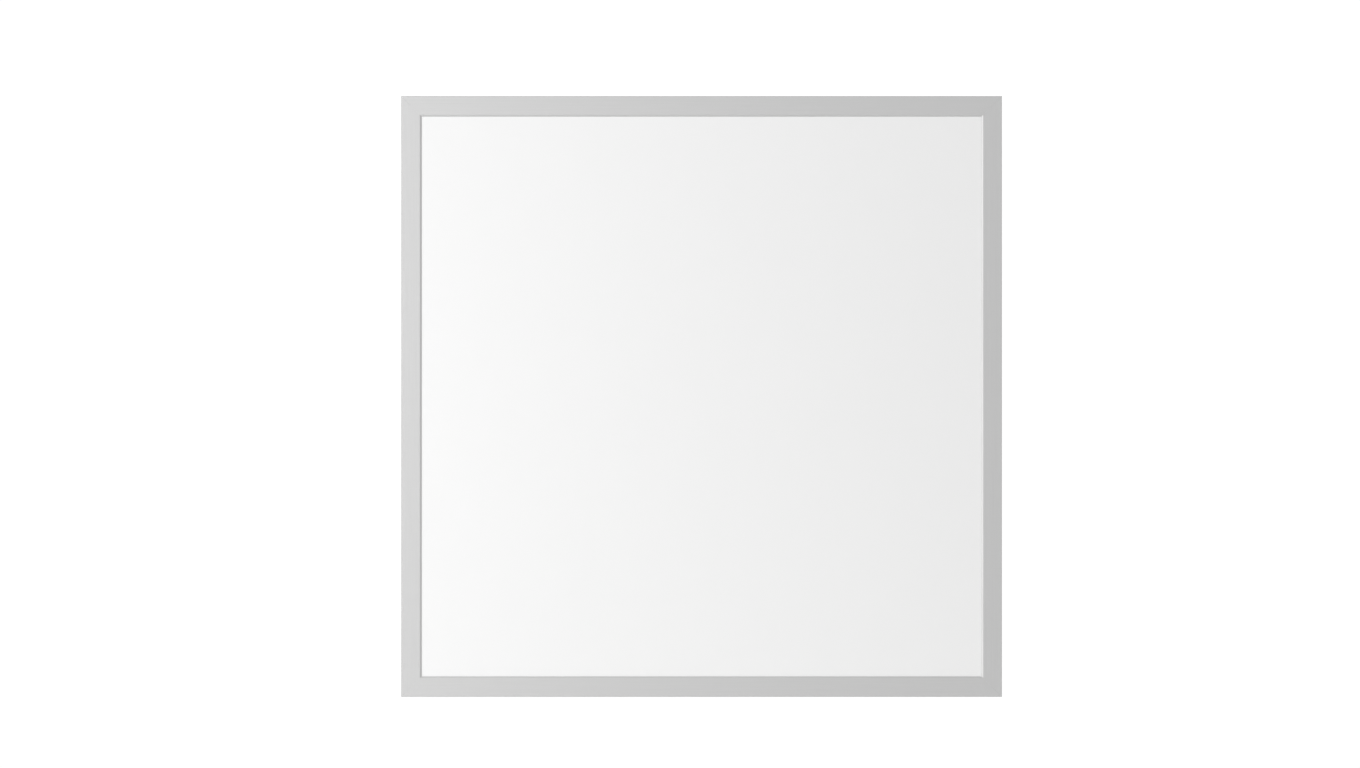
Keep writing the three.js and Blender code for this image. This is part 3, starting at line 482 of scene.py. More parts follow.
@cache
def anodised_aluminium(axis):
    # Extruded, deep matt etched and clear anodised: a broad silky sheen that brightens slowly
    # across the bar, with faint die lines along it.
    # Real die lines are a tenth of a millimetre apart; these are drawn coarse enough to show.
    colours = bpy.context.scene.panel_light_colours
    material = surface(
        f"anodised aluminium {axis}", colours.frame, metallic=0.7, roughness=0.6
    )
    lines = cloud(material, 0.45 * MM, ALONG[axis], 3.0)
    relief(material, lines, 0.012 * MM)
    vary_gloss(material, cloud(material, 1.2 * MM, ALONG[axis]), 0.55, 0.64)
    return material


@cache
def opal_polystyrene():
    # Extruded opal sheet with a fine matt skin: white all through, with a broad soft sheen.
    colours = bpy.context.scene.panel_light_colours
    material = surface("opal polystyrene", colours.diffuser, roughness=0.42, ior=1.55)
    relief(material, cloud(material, 0.6 * MM, detail=1.0), 0.008 * MM)
    vary_gloss(material, cloud(material, 45 * MM), 0.4, 0.46)
    return material


@cache
def powder_coated_steel():
    # White polyester powder on pressed sheet: an even coat with a fine orange peel.
    colours = bpy.context.scene.panel_light_colours
    material = surface("powder coated steel", colours.cover, roughness=0.45)
    relief(material, cloud(material, 1.1 * MM, detail=1.0), 0.03 * MM)
    vary_gloss(material, cloud(material, 30 * MM), 0.42, 0.52)
    return material


@cache
def zinc_plated_steel():
    # Bright zinc over cold-headed steel: a cool mirror that is slightly clouded by the passivate.
    material = surface("zinc plated steel", "#b9bdc2", metallic=1.0, roughness=0.28)
    clouds = cloud(material, 1.6 * MM)
    tint(material, clouds, "#a9adb4", "#c8c9c6")
    vary_gloss(material, clouds, 0.22, 0.38)
    return material


@cache
def cast_zinc():
    # Die-cast zinc straight from the tool: dull grey with a fine cast skin.
    material = surface("cast zinc", "#a0a2a4", metallic=0.9, roughness=0.5)
    relief(material, cloud(material, 0.5 * MM, detail=3.0), 0.03 * MM)
    tint(material, cloud(material, 5 * MM), "#929497", "#abacad")
    return material


@cache
def moulded_polycarbonate():
    # White flame-retardant polycarbonate from a spark-eroded tool: an even fine grain, soft sheen.
    colours = bpy.context.scene.panel_light_colours
    material = surface("moulded polycarbonate", colours.case, roughness=0.48, ior=1.58)
    relief(material, cloud(material, 0.35 * MM, detail=2.0), 0.02 * MM)
    vary_gloss(material, cloud(material, 18 * MM), 0.44, 0.54)
    return material


@cache
def moulded_polyamide(name, colour, dark):
    # Glass-filled polyamide: slightly blotchy where the filler comes to the surface.
    material = surface(f"moulded polyamide {name}", colour, roughness=0.42, ior=1.53)
    tint(material, cloud(material, 0.6 * MM, detail=3.0), dark, colour)
    relief(material, cloud(material, 0.3 * MM), 0.012 * MM)
    return material


@cache
def clear_acrylic():
    # Polished cast acrylic, with a printed lattice of dots on its back that lets the light out.
    material = surface(
        "clear acrylic", "#eef6f5", roughness=0.04, ior=1.49, transmission_weight=0.85
    )
    lattice = {"Scale": 1 / (3 * MM), "Randomness": 0.0, "voronoi_dimensions": "3D"}
    dots = add(material.node_tree, "ShaderNodeTexVoronoi", lattice, {"Vector": on_object(material)})
    tint(material, dots.outputs["Distance"], "#ffffff", "#eaf3f2", 0.18, 0.24)
    return material


@cache
def reflective_film():
    # White micro-foamed polyester: very white, with a soft satin face.
    material = surface("white polyester film", "#fafafa", roughness=0.3)
    relief(material, cloud(material, 25 * MM), 0.05 * MM)
    return material


@cache
def polyethylene_foam():
    # Cut polyethylene foam: open cells of about a millimetre show as pits, and painted shade darkens each
    # pit towards its middle.
    material = surface("polyethylene foam", "#e4e6e3", roughness=0.92)
    size = {"Scale": 1 / (1.1 * MM)}
    cells = add(material.node_tree, "ShaderNodeTexVoronoi", size, {"Vector": on_object(material)})
    relief(material, cells.outputs["Distance"], 0.2 * MM)
    # Painted shade: the colour darkens towards each pit's middle, where the pit is deepest.
    tint(material, cells.outputs["Distance"], "#d3d6d2", "#ebedea", 0.1, 0.6)
    return material


@cache
def thermal_tape():
    # Ceramic-filled acrylic tape on a fibreglass carrier, whose weave just shows.
    material = surface("thermal tape", "#dfe1e6", roughness=0.75)
    size = {"Scale": 1 / (0.6 * MM)}
    weave = add(material.node_tree, "ShaderNodeTexChecker", size, {"Vector": on_object(material)})
    relief(material, weave.outputs["Fac"], 0.02 * MM)
    return material


@cache
def white_solder_mask():
    # White solder mask over an aluminium core: glossy enamel with faint copper edges beneath.
    material = surface("white solder mask", "#f1f1ec", roughness=0.3)
    tint(material, cloud(material, 4 * MM, (1, 1, 3)), "#e8e8e2", "#f6f6f2")
    relief(material, cloud(material, 2 * MM, (1, 1, 4)), 0.02 * MM)
    return material


@cache
def phosphor():
    # Silicone filled with yellow phosphor, slightly domed and sticky-bright.
    material = surface("phosphor silicone", "#e9c63a", roughness=0.25, ior=1.41)
    tint(material, cloud(material, 0.15 * MM), "#e2bb30", "#eeca42")
    return material


@cache
def green_solder_mask(under, light, dark):
    # Green solder mask: a glossy coat, dark over the glass weave and lighter over copper.
    material = surface(f"green solder mask over {under}", light, roughness=0.3)
    mottle = cloud(material, 1.4 * MM, detail=3.0)
    tint(material, mottle, dark, light)
    relief(material, mottle, 0.012 * MM)
    return material


@cache
def ferrite():
    # Sintered manganese-zinc ferrite: near black, matt and slightly sparkling on ground faces.
    material = surface("sintered ferrite", "#34332f", roughness=0.62, metallic=0.2)
    grain = cloud(material, 0.4 * MM, detail=4.0)
    tint(material, grain, "#2b2a27", "#44433e")
    relief(material, grain, 0.03 * MM)
    return material


@cache
def polyester_tape():
    # Yellow polyester tape in several turns: glossy, with the edges of the turns as fine lines.
    material = surface("polyester tape", "#dcae24", roughness=0.22, ior=1.6)
    turns = cloud(material, 0.6 * MM, (400, 400, 1))
    relief(material, turns, 0.015 * MM)
    tint(material, turns, "#d6a71f", "#e0b42f")
    return material


@cache
def shrink_sleeve():
    # Black shrink sleeve drawn tight over a can: glossy with a slight waviness.
    material = surface("shrink sleeve", "#1b1d26", roughness=0.2, ior=1.55)
    relief(material, cloud(material, 3 * MM), 0.05 * MM)
    tint(material, cloud(material, 6 * MM), "#16181f", "#22242e")
    return material


@cache
def rolled_aluminium():
    # Impact-extruded can of bare aluminium: bright with fine rings.
    material = surface("rolled aluminium", "#d3d4d5", metallic=1.0, roughness=0.3)
    vary_gloss(material, cloud(material, 0.4 * MM), 0.24, 0.38)
    return material


@cache
def tinned_copper():
    # Hot-tinned copper and solder joints: bright, soft-edged and a little wavy.
    material = surface("tinned copper", "#cfd0cf", metallic=1.0, roughness=0.22)
    relief(material, cloud(material, 0.5 * MM), 0.03 * MM)
    return material


@cache
def enamelled_copper():
    # Copper wire under clear enamel: deep orange-red with a wet gloss.
    material = surface("enamelled copper", "#b4622c", metallic=0.9, roughness=0.2)
    tint(material, cloud(material, 2 * MM), "#a2521f", "#c47238")
    return material


@cache
def moulded_rubber():
    # Black EPDM: matt with a greyish bloom.
    material = surface("moulded rubber", "#232324", roughness=0.8)
    tint(material, cloud(material, 1.5 * MM), "#1d1d1e", "#2f2f30")
    relief(material, cloud(material, 0.3 * MM), 0.03 * MM)
    return material


@cache
def lead_sheath():
    # White flexible vinyl: soft sheen, slightly dimpled by the strands inside.
    material = surface("flexible vinyl", "#ecebe8", roughness=0.4, ior=1.53)
    relief(material, cloud(material, 0.7 * MM), 0.03 * MM)
    return material


# ---------------------------------------------------------------- frame

SAW_ALLOWANCE = 5 * MM
SIDES = ("left", "top", "right", "bottom")


def rail_section(reach, sizes):
    """The extrusion's outline as (x, y), for a rail whose outer edge is at x = -reach."""
    middle = WALL + CHANNEL_WIDTH / 2
    slot_low, slot_high = middle - SLOT_WIDTH / 2, middle + SLOT_WIDTH / 2
    lip = WALL + CHANNEL_DEPTH
    radius = sizes.edge_radius
    corners = [
        (sizes.face_width - sizes.bevel_width, 0),
        (sizes.face_width, sizes.bevel_depth),
        (sizes.face_width, WALL),
        (HEATSINK, WALL),
        (HEATSINK, SEAT_Y),
        (slot_high, SEAT_Y),
        (slot_high, lip),
        (WALL + CHANNEL_WIDTH, lip),
        (WALL + CHANNEL_WIDTH, WALL),
        (WALL, WALL),
        (WALL, lip),
        (slot_low, lip),
        (slot_low, SEAT_Y),
        (WALL, SEAT_Y),
        (WALL, FRAME_DEPTH),
        (0, FRAME_DEPTH),
    ]
    corner = arc((radius, radius), radius, 180, 270, 6)
    return [(x - reach, y) for x, y in corners + corner]


def make_rail(node, length, reach, quarter_turns, sizes):
    """A bar cut longer than the rail and then mitred at both ends."""
    sawn = length / 2 + SAW_ALLOWANCE
    section = [Vector((x, y, -sawn)) for x, y in rail_section(reach, sizes)]
    rail = prism(f"{node}_bar", section, (0, 0, 2 * sawn))
    apply_modifier(
        rail,
        "BEVEL",
        width=sizes.die_radius,
        segments=2,
        limit_method="ANGLE",
        angle_limit=25 * DEGREE,
    )
    for end in (-1, 1):
        with editing(rail):
            select_all()
            bpy.ops.mesh.bisect(
                plane_co=(-reach, 0, end * (length / 2 - sizes.mitre_gap / 2)),
                plane_no=(1, 0, end),
                clear_outer=True,
            )
            pick_open_edges(rail, lambda middle: True)
            bpy.ops.mesh.edge_face_add()
    rail.rotation_euler = (0, quarter_turns * math.pi / 2, 0)
    activate(rail)
    bpy.ops.object.transform_apply(location=False, rotation=True, scale=False)
    smooth(rail)
    axis = "Z" if quarter_turns % 2 == 0 else "X"
    finish(rail, anodised_aluminium(axis), [node])


def make_frame(sizes):
    spans = [(2 * HALF_Z, HALF_X), (2 * HALF_X, HALF_Z)]
    for quarter_turns, side in enumerate(SIDES):
        make_rail(f"frame_rail_{side}", *spans[quarter_turns % 2], quarter_turns, sizes)


KEYS = [f"corner_key_{corner}" for corner in ("bottom_left", "top_left", "top_right", "bottom_right")]


def make_corner_keys():
    """Each key keeps its frame shape, with its edges rounded as the die leaves them."""
    for node in KEYS:
        key = softened_copy(node, node.replace("corner_key", "cast_key"), 0.3 * MM)
        finish(key, cast_zinc(), [node])


# ---------------------------------------------------------------- screws and nuts

SCREW = {
    "shank": 2.2 * MM,
    "root": 1.7 * MM,
    "pitch": 0.8 * MM,
    "head": 5.6 * MM,
    "head_height": 1.8 * MM,
    "rim": 0.45 * MM,
    "recess": 3.2 * MM,
    "recess_width": 0.8 * MM,
    "recess_depth": 1.15 * MM,
    "recess_taper": (0.4, 1, 0.7),
    "neck": 0.3 * MM,
    "rim_chamfer": 0.1 * MM,
    "turn_step": 137,
}


def thread_profile(length):
    """The shank from its point to the head, as (radius, y)."""
    crest, root = SCREW["shank"] / 2, SCREW["root"] / 2
    turns = int((length - crest) / SCREW["pitch"])
    profile = [(0, -length), (root / 2, -length)]
    for i in range(turns):
        y = -length + crest + i * SCREW["pitch"]
        profile += [(root, y), (crest, y + SCREW["pitch"] / 2)]
    return profile + [(root, -SCREW["neck"]), (crest, -TINY), (crest, 0)]


def head_profile():
    """A pan head, from its underside round to the axis."""
    radius, height, rim = SCREW["head"] / 2, SCREW["head_height"], SCREW["rim"]
    curve = height - rim
    dome = arc((radius - curve, rim), curve, 0, 90, 6)
    chamfer = SCREW["rim_chamfer"]
    return [(radius - chamfer, 0), (radius, chamfer)] + dome + [(0, height)]


def recess_tool():
    """A tapered cross, as the driver's tip presses it."""
    bars = []
    for turn in (0, math.pi / 2):
        half, width = SCREW["recess"] / 2, SCREW["recess_width"] / 2
        top = SCREW["head_height"] + ROOT
        bottom = SCREW["head_height"] - SCREW["recess_depth"]
        bar = block("recess_bar", (-half, bottom, -width), (half, top, width))
        with editing(bar):
            pick_faces(bar, lambda centre, normal: normal.y < -FACING)
            bpy.ops.transform.resize(value=SCREW["recess_taper"], center_override=(0, bottom, 0))
        bars.append(copy_of(bar, "recess_bar_turned", turn_y=turn))
        bpy.data.meshes.remove(bar.data)
    return weld(*bars)


def make_screw(name, length):
    """A pan-head cross-recessed screw with its head's underside at the origin, pointing to -Y."""
    screw = turned(name, thread_profile(length) + head_profile(), sides=28)
    carve(screw, recess_tool())
    return soften(screw, 0.06 * MM, segments=1, angle=50)


COVER_SCREWS = [f"cover_screw_{side}_{i}" for side in SIDES for i in range(1, 5)]
CASE_SCREWS = ["case_screw_left", "case_screw_right"]
CLAMP_SCREWS = ["clamp_screw_top", "clamp_screw_bottom"]


def place_screws(nodes):
    """One screw is made for the group, and each copy stands where its frame node does. Each is
    turned by its own amount, because screws stop where they bite."""
    length = high(nodes[0]).y - low(nodes[0]).y - SCREW["head_height"]
    model = make_screw("screw_model", length)
    for i, node in enumerate(nodes):
        middle = middle_of(node)
        seat = Vector((middle.x, high(node).y - SCREW["head_height"], middle.z))
        turn = (i * SCREW["turn_step"] % 90) * DEGREE
        copy = copy_of(model, node.replace("screw", "pan_screw"), seat, turn)
        finish(copy, zinc_plated_steel(), [node])
    bpy.data.meshes.remove(model.data)


NUTS = [key.replace("corner_key", "hanger_nut") for key in KEYS]
NUT = {"bore": 3.4 * MM, "minor": 3.1 * MM, "pitch": 0.7 * MM, "body": 5.6 * MM, "flange": 9 * MM}
NUT |= {"edge": 0.3 * MM, "flange_height": 0.8 * MM, "plain": 0.9 * MM}


def make_hanger_nuts():
    nut_low, nut_high = SIDE[NUTS[0]]
    bottom, top = nut_low.y, nut_high.y
    under = top - NUT["flange_height"]
    edge = NUT["edge"]
    flange, body, bore = NUT["flange"] / 2, NUT["body"] / 2, NUT["bore"] / 2
    profile = [(body - edge, bottom), (body, bottom + edge), (body, under), (flange, under)]
    profile += arc((flange - edge, top - edge), edge, 0, 90, 4)
    profile += [(bore + edge, top)]
    turns = int((top - bottom - NUT["plain"]) / NUT["pitch"])
    for i in range(turns):
        y = top - edge - i * NUT["pitch"]
        profile += [(bore, y), (NUT["minor"] / 2, y - NUT["pitch"] / 2)]
    profile += [(bore, bottom), (body - edge, bottom)]
    model = turned("nut_model", profile, sides=40)
    smooth(model)
    for node in NUTS:
        middle = middle_of(node)
        nut = copy_of(model, node.replace("hanger_nut", "rivet_nut"), (middle.x, 0, middle.z))
        finish(nut, zinc_plated_steel(), [node])
    bpy.data.meshes.remove(model.data)


# ---------------------------------------------------------------- optical stack


def make_optical_stack():
    """These sheets are flat and plain, so their frame nodes stay and only get their surfaces."""
    for node, material in (
        ("diffuser", opal_polystyrene()),
        ("light_guide", clear_acrylic()),
        ("reflector_sheet", reflective_film()),
        ("foam_sheet", polyethylene_foam()),
        ("thermal_tape_left", thermal_tape()),
        ("thermal_tape_right", thermal_tape()),
    ):
        dress(node, material)


CHIP = {"count": 64, "width": 2.8 * MM, "length": 3.5 * MM, "height": 0.8 * MM, "rim": 0.35 * MM}
CHIP["lens_rim"] = 0.15 * MM
BOARD_THICKNESS = 1 * MM


def make_led_strip():
    """The left strip: an aluminium-cored board and its row of chips."""
    board_low, board_high = SIDE["led_strip_left"]
    face = board_low.x + BOARD_THICKNESS
    board = block("led_board", board_low, (face, board_high.y, board_high.z))
    soften(board, 0.08 * MM)
    board.data.materials.append(white_solder_mask())

    guide_low, guide_high = SIDE["light_guide"]
    middle = (guide_low.y + guide_high.y) / 2
    first = board_low.z + CHIP["length"]
    pitch = (board_high.z - board_low.z - 2 * CHIP["length"]) / (CHIP["count"] - 1)
    half_y, half_z = CHIP["width"] / 2, CHIP["length"] / 2
    top = face + CHIP["height"]
    lowest = (face, middle - half_y, first - half_z)
    chip = block("led_chip", lowest, (top, middle + half_y, first + half_z))
    chip.data.materials.append(moulded_polyamide(*WHITE))
    chip.data.materials.append(phosphor())
    with editing(chip):
        pick_faces(chip, lambda centre, normal: normal.x > FACING)
        bpy.ops.mesh.inset(thickness=CHIP["rim"], depth=0)
        bpy.ops.mesh.inset(thickness=CHIP["lens_rim"], depth=-CHIP["lens_rim"])
        chip.active_material_index = 1
        bpy.ops.object.material_slot_assign()
    apply_modifier(
        chip,
        "ARRAY",
        count=CHIP["count"],
        use_relative_offset=False,
        use_constant_offset=True,
        constant_offset_displace=(0, 0, pitch),
    )
    return board, chip


def make_led_strips():
    board, chips = make_led_strip()
    strip = join("led_board_left", board, chips)
    other = copy_of(strip, "led_board_right", turn_y=math.pi)
    finish(strip, None, ["led_strip_left"])
    finish(other, None, ["led_strip_right"])


# ---------------------------------------------------------------- back cover

BEAD_WIDTH = 8 * MM
BEAD_RING_INSET = 76 * MM
BEAD_RING_RADIUS = 24 * MM
BAR_LENGTH = 330 * MM
BAR_HEIGHTS = [75 * MM, 125 * MM]
# The pressed profile, from its foot to its top, as (across, up) steps in shares of half its
# width and of its height.
BEAD_STEPS = [(0.1, 0.02), (0.2, 0.16), (0.25, 0.38), (0.2, 0.3), (0.15, 0.12), (0.1, 0.02)]
COVER_CORNER = 3 * MM
SCREW_HOLE = 1.6 * MM
COLLAR_HOLE = 1.3 * MM
COLLAR_REACH = 1.5 * MM  # edges this near a case screw belong to its hole
GROMMET_HOLE = 4.5 * MM
COLLAR_DEPTH = 1.6 * MM


def rounded_face(name, width, height, radius, segments=10):
    """A flat face towards +Y with round corners."""
    deselect()
    bpy.ops.mesh.primitive_plane_add(
        size=1, location=(0, COVER_Y, 0), rotation=(-math.pi / 2, 0, 0)
    )
    bpy.context.object.scale = (width, height, 1)
    piece = settle(name)
    with editing(piece):
        select_all()
        bpy.ops.mesh.bevel(offset=radius, segments=segments, affect="VERTICES", clamp_overlap=True)
    return piece


def long_round_face(name, length, width, z, sides=32):
    """A flat face towards +Y with half-round ends: a disc whose halves are moved apart."""
    deselect()
    bpy.ops.mesh.primitive_circle_add(
        vertices=sides,
        radius=width / 2,
        fill_type="NGON",
        location=(0, COVER_Y, z),
        rotation=(-math.pi / 2, math.pi / sides, 0),
    )
    piece = settle(name)
    with editing(piece):
        for end in (-1, 1):
            pick_edges(piece, lambda a, b: a.x * end > 0 and b.x * end > 0)
            bpy.ops.transform.translate(value=(end * (length - width) / 2, 0, 0))
    return piece


def press_bead(piece, height, over):
    """Insets the face up the bead's slope to a flat top, or over it and down again."""
    steps = BEAD_STEPS[:-1]
    if over:
        steps = BEAD_STEPS + [(across, -up) for across, up in reversed(BEAD_STEPS)]
    with editing(piece):
        select_all()
        for across, up in steps:
            bpy.ops.mesh.inset(thickness=across * BEAD_WIDTH / 2, depth=up * height)
        if over:
            bpy.ops.mesh.delete(type="ONLY_FACE")


def loop_of(name, radius, x, z, sides=24):
    """A circle of edges, for a hole in the sheet."""
    deselect()
    bpy.ops.mesh.primitive_circle_add(
        vertices=sides, radius=radius, location=(x, COVER_Y, z), rotation=(math.pi / 2, 0, 0)
    )
    return settle(name)


def ring_half(size):
    return size - BEAD_RING_INSET


def within_ring(place):
    """True for a place on the flat that the ring bead surrounds."""
    straight = Vector((ring_half(HALF_X), ring_half(HALF_Z))) - Vector((1, 1)) * BEAD_RING_RADIUS
    past = Vector((max(abs(place.x) - straight.x, 0), max(abs(place.z) - straight.y, 0)))
    return past.length < BEAD_RING_RADIUS


def fill_between(piece, inside):
    """Fills the flat between the open edges that lie inside, or outside, the ring bead."""

    def on_this_flat(middle):
        return within_ring(middle) == inside and abs(middle.y - COVER_Y) < TINY

    with editing(piece):
        pick_open_edges(piece, on_this_flat)
        bpy.ops.mesh.fill(use_beauty=True)


def make_back_cover(sizes):
    inset = WALL + FIT
    border = rounded_face("cover_border", 2 * (HALF_X - inset), 2 * (HALF_Z - inset), COVER_CORNER)
    with editing(border):
        select_all()
        bpy.ops.mesh.delete(type="ONLY_FACE")
    half = BEAD_WIDTH / 2
    ring = rounded_face(
        "cover_ring",
        2 * (ring_half(HALF_X) + half),
        2 * (ring_half(HALF_Z) + half),
        BEAD_RING_RADIUS + half,
        segments=16,
    )
    press_bead(ring, sizes.bead_height, over=True)
    bars = []
    for z in BAR_HEIGHTS + [-z for z in BAR_HEIGHTS]:
        bar = long_round_face("cover_bar", BAR_LENGTH, BEAD_WIDTH, z)
        press_bead(bar, sizes.bead_height, over=False)
        bars.append(bar)
    holes = [(SCREW_HOLE, node) for node in COVER_SCREWS]
    holes += [(NUT["body"] / 2 + FIT / 2, node) for node in NUTS]
    holes += [(COLLAR_HOLE, node) for node in CASE_SCREWS] + [(GROMMET_HOLE, "cable_grommet")]
    loops = [loop_of("cover_hole", r, middle_of(n).x, middle_of(n).z) for r, n in holes]
    cover = join("pressed_back_cover", border, ring, *bars, *loops)
    fill_between(cover, inside=False)
    fill_between(cover, inside=True)
    draw_collars(cover)
    outward(cover)
    face_back(cover)
    apply_modifier(cover, "SOLIDIFY", thickness=COVER_Y - SEAT_Y, offset=-1, use_even_offset=True)
    smooth(cover)
    finish(cover, powder_coated_steel(), ["back_cover"])


def draw_collars(cover):
    """Extrudes the rims of the case screws' holes inwards, for the screws to bite into."""
    places = [middle_of(node) for node in CASE_SCREWS]

    def on_a_rim(middle):
        return any(math.hypot(middle.x - p.x, middle.z - p.z) < COLLAR_REACH for p in places)

    with editing(cover):
        pick_open_edges(cover, on_a_rim)
        extrude((0, -COLLAR_DEPTH, 0))


def face_back(cover):
    """Turns the sheet over if its faces look forwards."""
    lean = sum(face.normal.y * face.area for face in cover.data.polygons)
    if lean < 0:
        with editing(cover):
            select_all()
            bpy.ops.mesh.flip_normals()


GROMMET = {"bore": 3.4 * MM, "neck": 4.2 * MM, "flange": 6 * MM, "clearance": 6.7 * MM}
GROMMET |= {"chamfer": 0.3 * MM, "mouth": 0.5 * MM}


def make_grommet():
    grommet_low, grommet_high = SIDE["cable_grommet"]
    centre = middle_of("cable_grommet")
    bore, neck, flange = GROMMET["bore"], GROMMET["neck"], GROMMET["flange"]
    sheet_low, sheet_high = SEAT_Y - FILM_GAP, COVER_Y + FILM_GAP
    radius = (grommet_high.y - sheet_high) / 2
    profile = [(bore, grommet_low.y), (flange - GROMMET["chamfer"], grommet_low.y), (flange, sheet_low)]
    profile += [(neck, sheet_low), (neck, sheet_high)]
    profile += arc((flange - radius, sheet_high + radius), radius, -90, 90, 8)
    profile += [(bore + GROMMET["mouth"], grommet_high.y), (bore, grommet_high.y - GROMMET["mouth"])]
    profile.append(profile[0])
    grommet = turned("rubber_grommet", profile, (centre.x, 0, centre.z), sides=36)
    smooth(grommet)
    finish(grommet, moulded_rubber(), ["cable_grommet"])


# ---------------------------------------------------------------- driver case

EAR = {"width": 20 * MM, "thickness": 2.4 * MM, "corner": 5 * MM, "hole": 1.7 * MM}
EAR["x"] = high("driver_tray").x
TRAY_KNUCKLES = [(2, 8), (18, 30), (40, 46)]
LID_KNUCKLES = [(8.3, 17.7), (30.3, 39.7)]
LID_X = low("terminal_lid").x
SNAP = {"length": 9 * MM, "height": 2.6 * MM, "from_top": 2.8 * MM, "hook": 0.9 * MM}
SNAP["land"] = 0.5 * MM
SNAP_X = [-CASE_X + 20 * MM, -CASE_X + 70 * MM, -CASE_X + 120 * MM]
ENTRY = {"width": 10 * MM, "depth": 8 * MM, "lift": 0.7 * MM, "corner": 2 * MM}
MOULD_RADIUS = 0.3 * MM
COVER_MOULD_RADIUS = 0.2 * MM
TOP_RADIUS = 0.9 * MM
BARRIER_THICKNESS = 1.6 * MM
POST = {"radius": 3.5 * MM, "height": 9.5 * MM, "hole": 1.25 * MM, "floor": 1 * MM}
POST |= {"rib": 0.6 * MM, "rib_drop": 1 * MM}
STANDOFF = {"radius": 2.5 * MM, "gap": 0.1 * MM, "from_end": 6 * MM, "from_side": 4 * MM}


def on_hinge(name, radius, start, end, sides=40):
    """A round bar along the hinge's axis."""
    return rod(name, "X", radius, *((x, HINGE.y, HINGE.z) for x in (start, end)), sides)


def knuckle(name, span):
    return on_hinge(name, KNUCKLE_RADIUS, *(LID_X + x * MM for x in span))


def pin_bore():
    return on_hinge("pin_bore", KNUCKLE_BORE, LID_X - 5 * MM, CASE_X + 5 * MM)


def upright_rod(name, radius, x, z, bottom, top, sides=32):
    """A round bar that stands along Y."""
    return rod(name, "Y", radius, (x, bottom, z), (x, top, z), sides)


def rounded_box(name, lowest, highest, corner, segments=8):
    """A box whose edges along Y are rounded."""
    return round_edges(block(name, lowest, highest), corner, upright, segments)


def tray_shell():
    shell = rounded_box(
        "moulded_tray", (-CASE_X, CASE_FOOT, -CASE_Z), (CASE_X, CASE_RIM, CASE_Z), CASE_CORNER
    )
    with editing(shell):
        pick_faces(shell, lambda centre, normal: normal.y > FACING)
        bpy.ops.mesh.inset(thickness=CASE_WALL)
        extrude((0, CASE_FLOOR - CASE_RIM, 0))
    return shell


def tray_foot(span):
    """The web that carries a knuckle, sloped below so that it leaves the mould."""
    start, end = (LID_X + x * MM for x in span)
    wall = CASE_Z - CASE_WALL / 2
    outline = [
        (start, HINGE.y - 6 * MM, wall),
        (start, HINGE.y - 6 * MM, CASE_Z + 0.2 * MM),
        (start, HINGE.y - 1.6 * MM, HINGE.z + 1.4 * MM),
        (start, HINGE.y - 0.2 * MM, HINGE.z),
        (start, HINGE.y - 0.6 * MM, wall),
    ]
    return prism("knuckle_foot", outline, (end - start, 0, 0))


def tray_holes():
    clamp = middle_of("cable_clamp")
    entry_low = CASE_FLOOR + ENTRY["lift"]
    half = ENTRY["width"] / 2
    entry = block(
        "cable_entry",
        (CASE_X - CASE_WALL - PAST, entry_low, clamp.z - half),
        (CASE_X + PAST, entry_low + ENTRY["depth"], clamp.z + half),
    )
    tools = [round_edges(entry, ENTRY["corner"], lengthwise), pin_bore()]
    for x in SNAP_X:
        y = CASE_RIM - SNAP["from_top"]
        for side in (-1, 1):
            z = sorted((side * (CASE_Z - CASE_WALL - PAST), side * (CASE_Z + PAST)))
            half = SNAP["length"] / 2
            tools.append(block("snap_window", (x - half, y, z[0]), (x + half, y + SNAP["height"], z[1])))
    holes = [(node, EAR["hole"]) for node in CASE_SCREWS] + [("cable_grommet", GROMMET["clearance"])]
    for node, radius in holes:
        centre = middle_of(node)
        tools.append(upright_rod("tray_hole", radius, centre.x, centre.z, CASE_FOOT - PAST, CASE_RIM))
    for node in CLAMP_SCREWS:
        centre = middle_of(node)
        bottom = CASE_FLOOR + POST["floor"]
        tools.append(upright_rod("post_hole", POST["hole"], centre.x, centre.z, bottom, CASE_RIM, 24))
    return tools


def tray_supports():
    """Standoffs under the board, and posts under the clamp with their ribs."""
    board_low, board_high = SIDE["driver_board"]
    tools = []
    for x in (board_low.x + STANDOFF["from_end"], board_high.x - STANDOFF["from_end"]):
        for z in (board_low.z + STANDOFF["from_side"], board_high.z - STANDOFF["from_side"]):
            top = board_low.y - STANDOFF["gap"]
            tools.append(upright_rod("standoff", STANDOFF["radius"], x, z, CASE_FLOOR - PAST, top))
    for node in CLAMP_SCREWS:
        centre = middle_of(node)
        top = CASE_FLOOR + POST["height"]
        bottom = CASE_FLOOR - PAST
        tools.append(upright_rod("clamp_post", POST["radius"], centre.x, centre.z, bottom, top))
        side = math.copysign(1, centre.z)
        z = sorted((centre.z, side * (CASE_Z - PAST)))
        lowest = (centre.x - POST["rib"], CASE_FLOOR - PAST, z[0])
        tools.append(block("post_rib", lowest, (centre.x + POST["rib"], top - POST["rib_drop"], z[1])))
    return tools


def make_tray():
    tray = tray_shell()
    ears = rounded_box(
        "case_ears",
        (-EAR["x"], CASE_FOOT, -EAR["width"] / 2),
        (EAR["x"], CASE_FOOT + EAR["thickness"], EAR["width"] / 2),
        EAR["corner"],
    )
    inner = block(
        "ear_middle",
        (-CASE_X + CASE_WALL, CASE_FOOT - PAST, -EAR["width"]),
        (CASE_X - CASE_WALL, CASE_TOP, EAR["width"]),
    )
    carve(ears, inner)
    weld(tray, ears, *tray_supports())
    for span in TRAY_KNUCKLES:
        weld(tray, tray_foot(span), knuckle("tray_knuckle", span))
    carve(tray, *tray_holes())
    soften(tray, MOULD_RADIUS)
    finish(tray, moulded_polycarbonate(), ["driver_tray"])


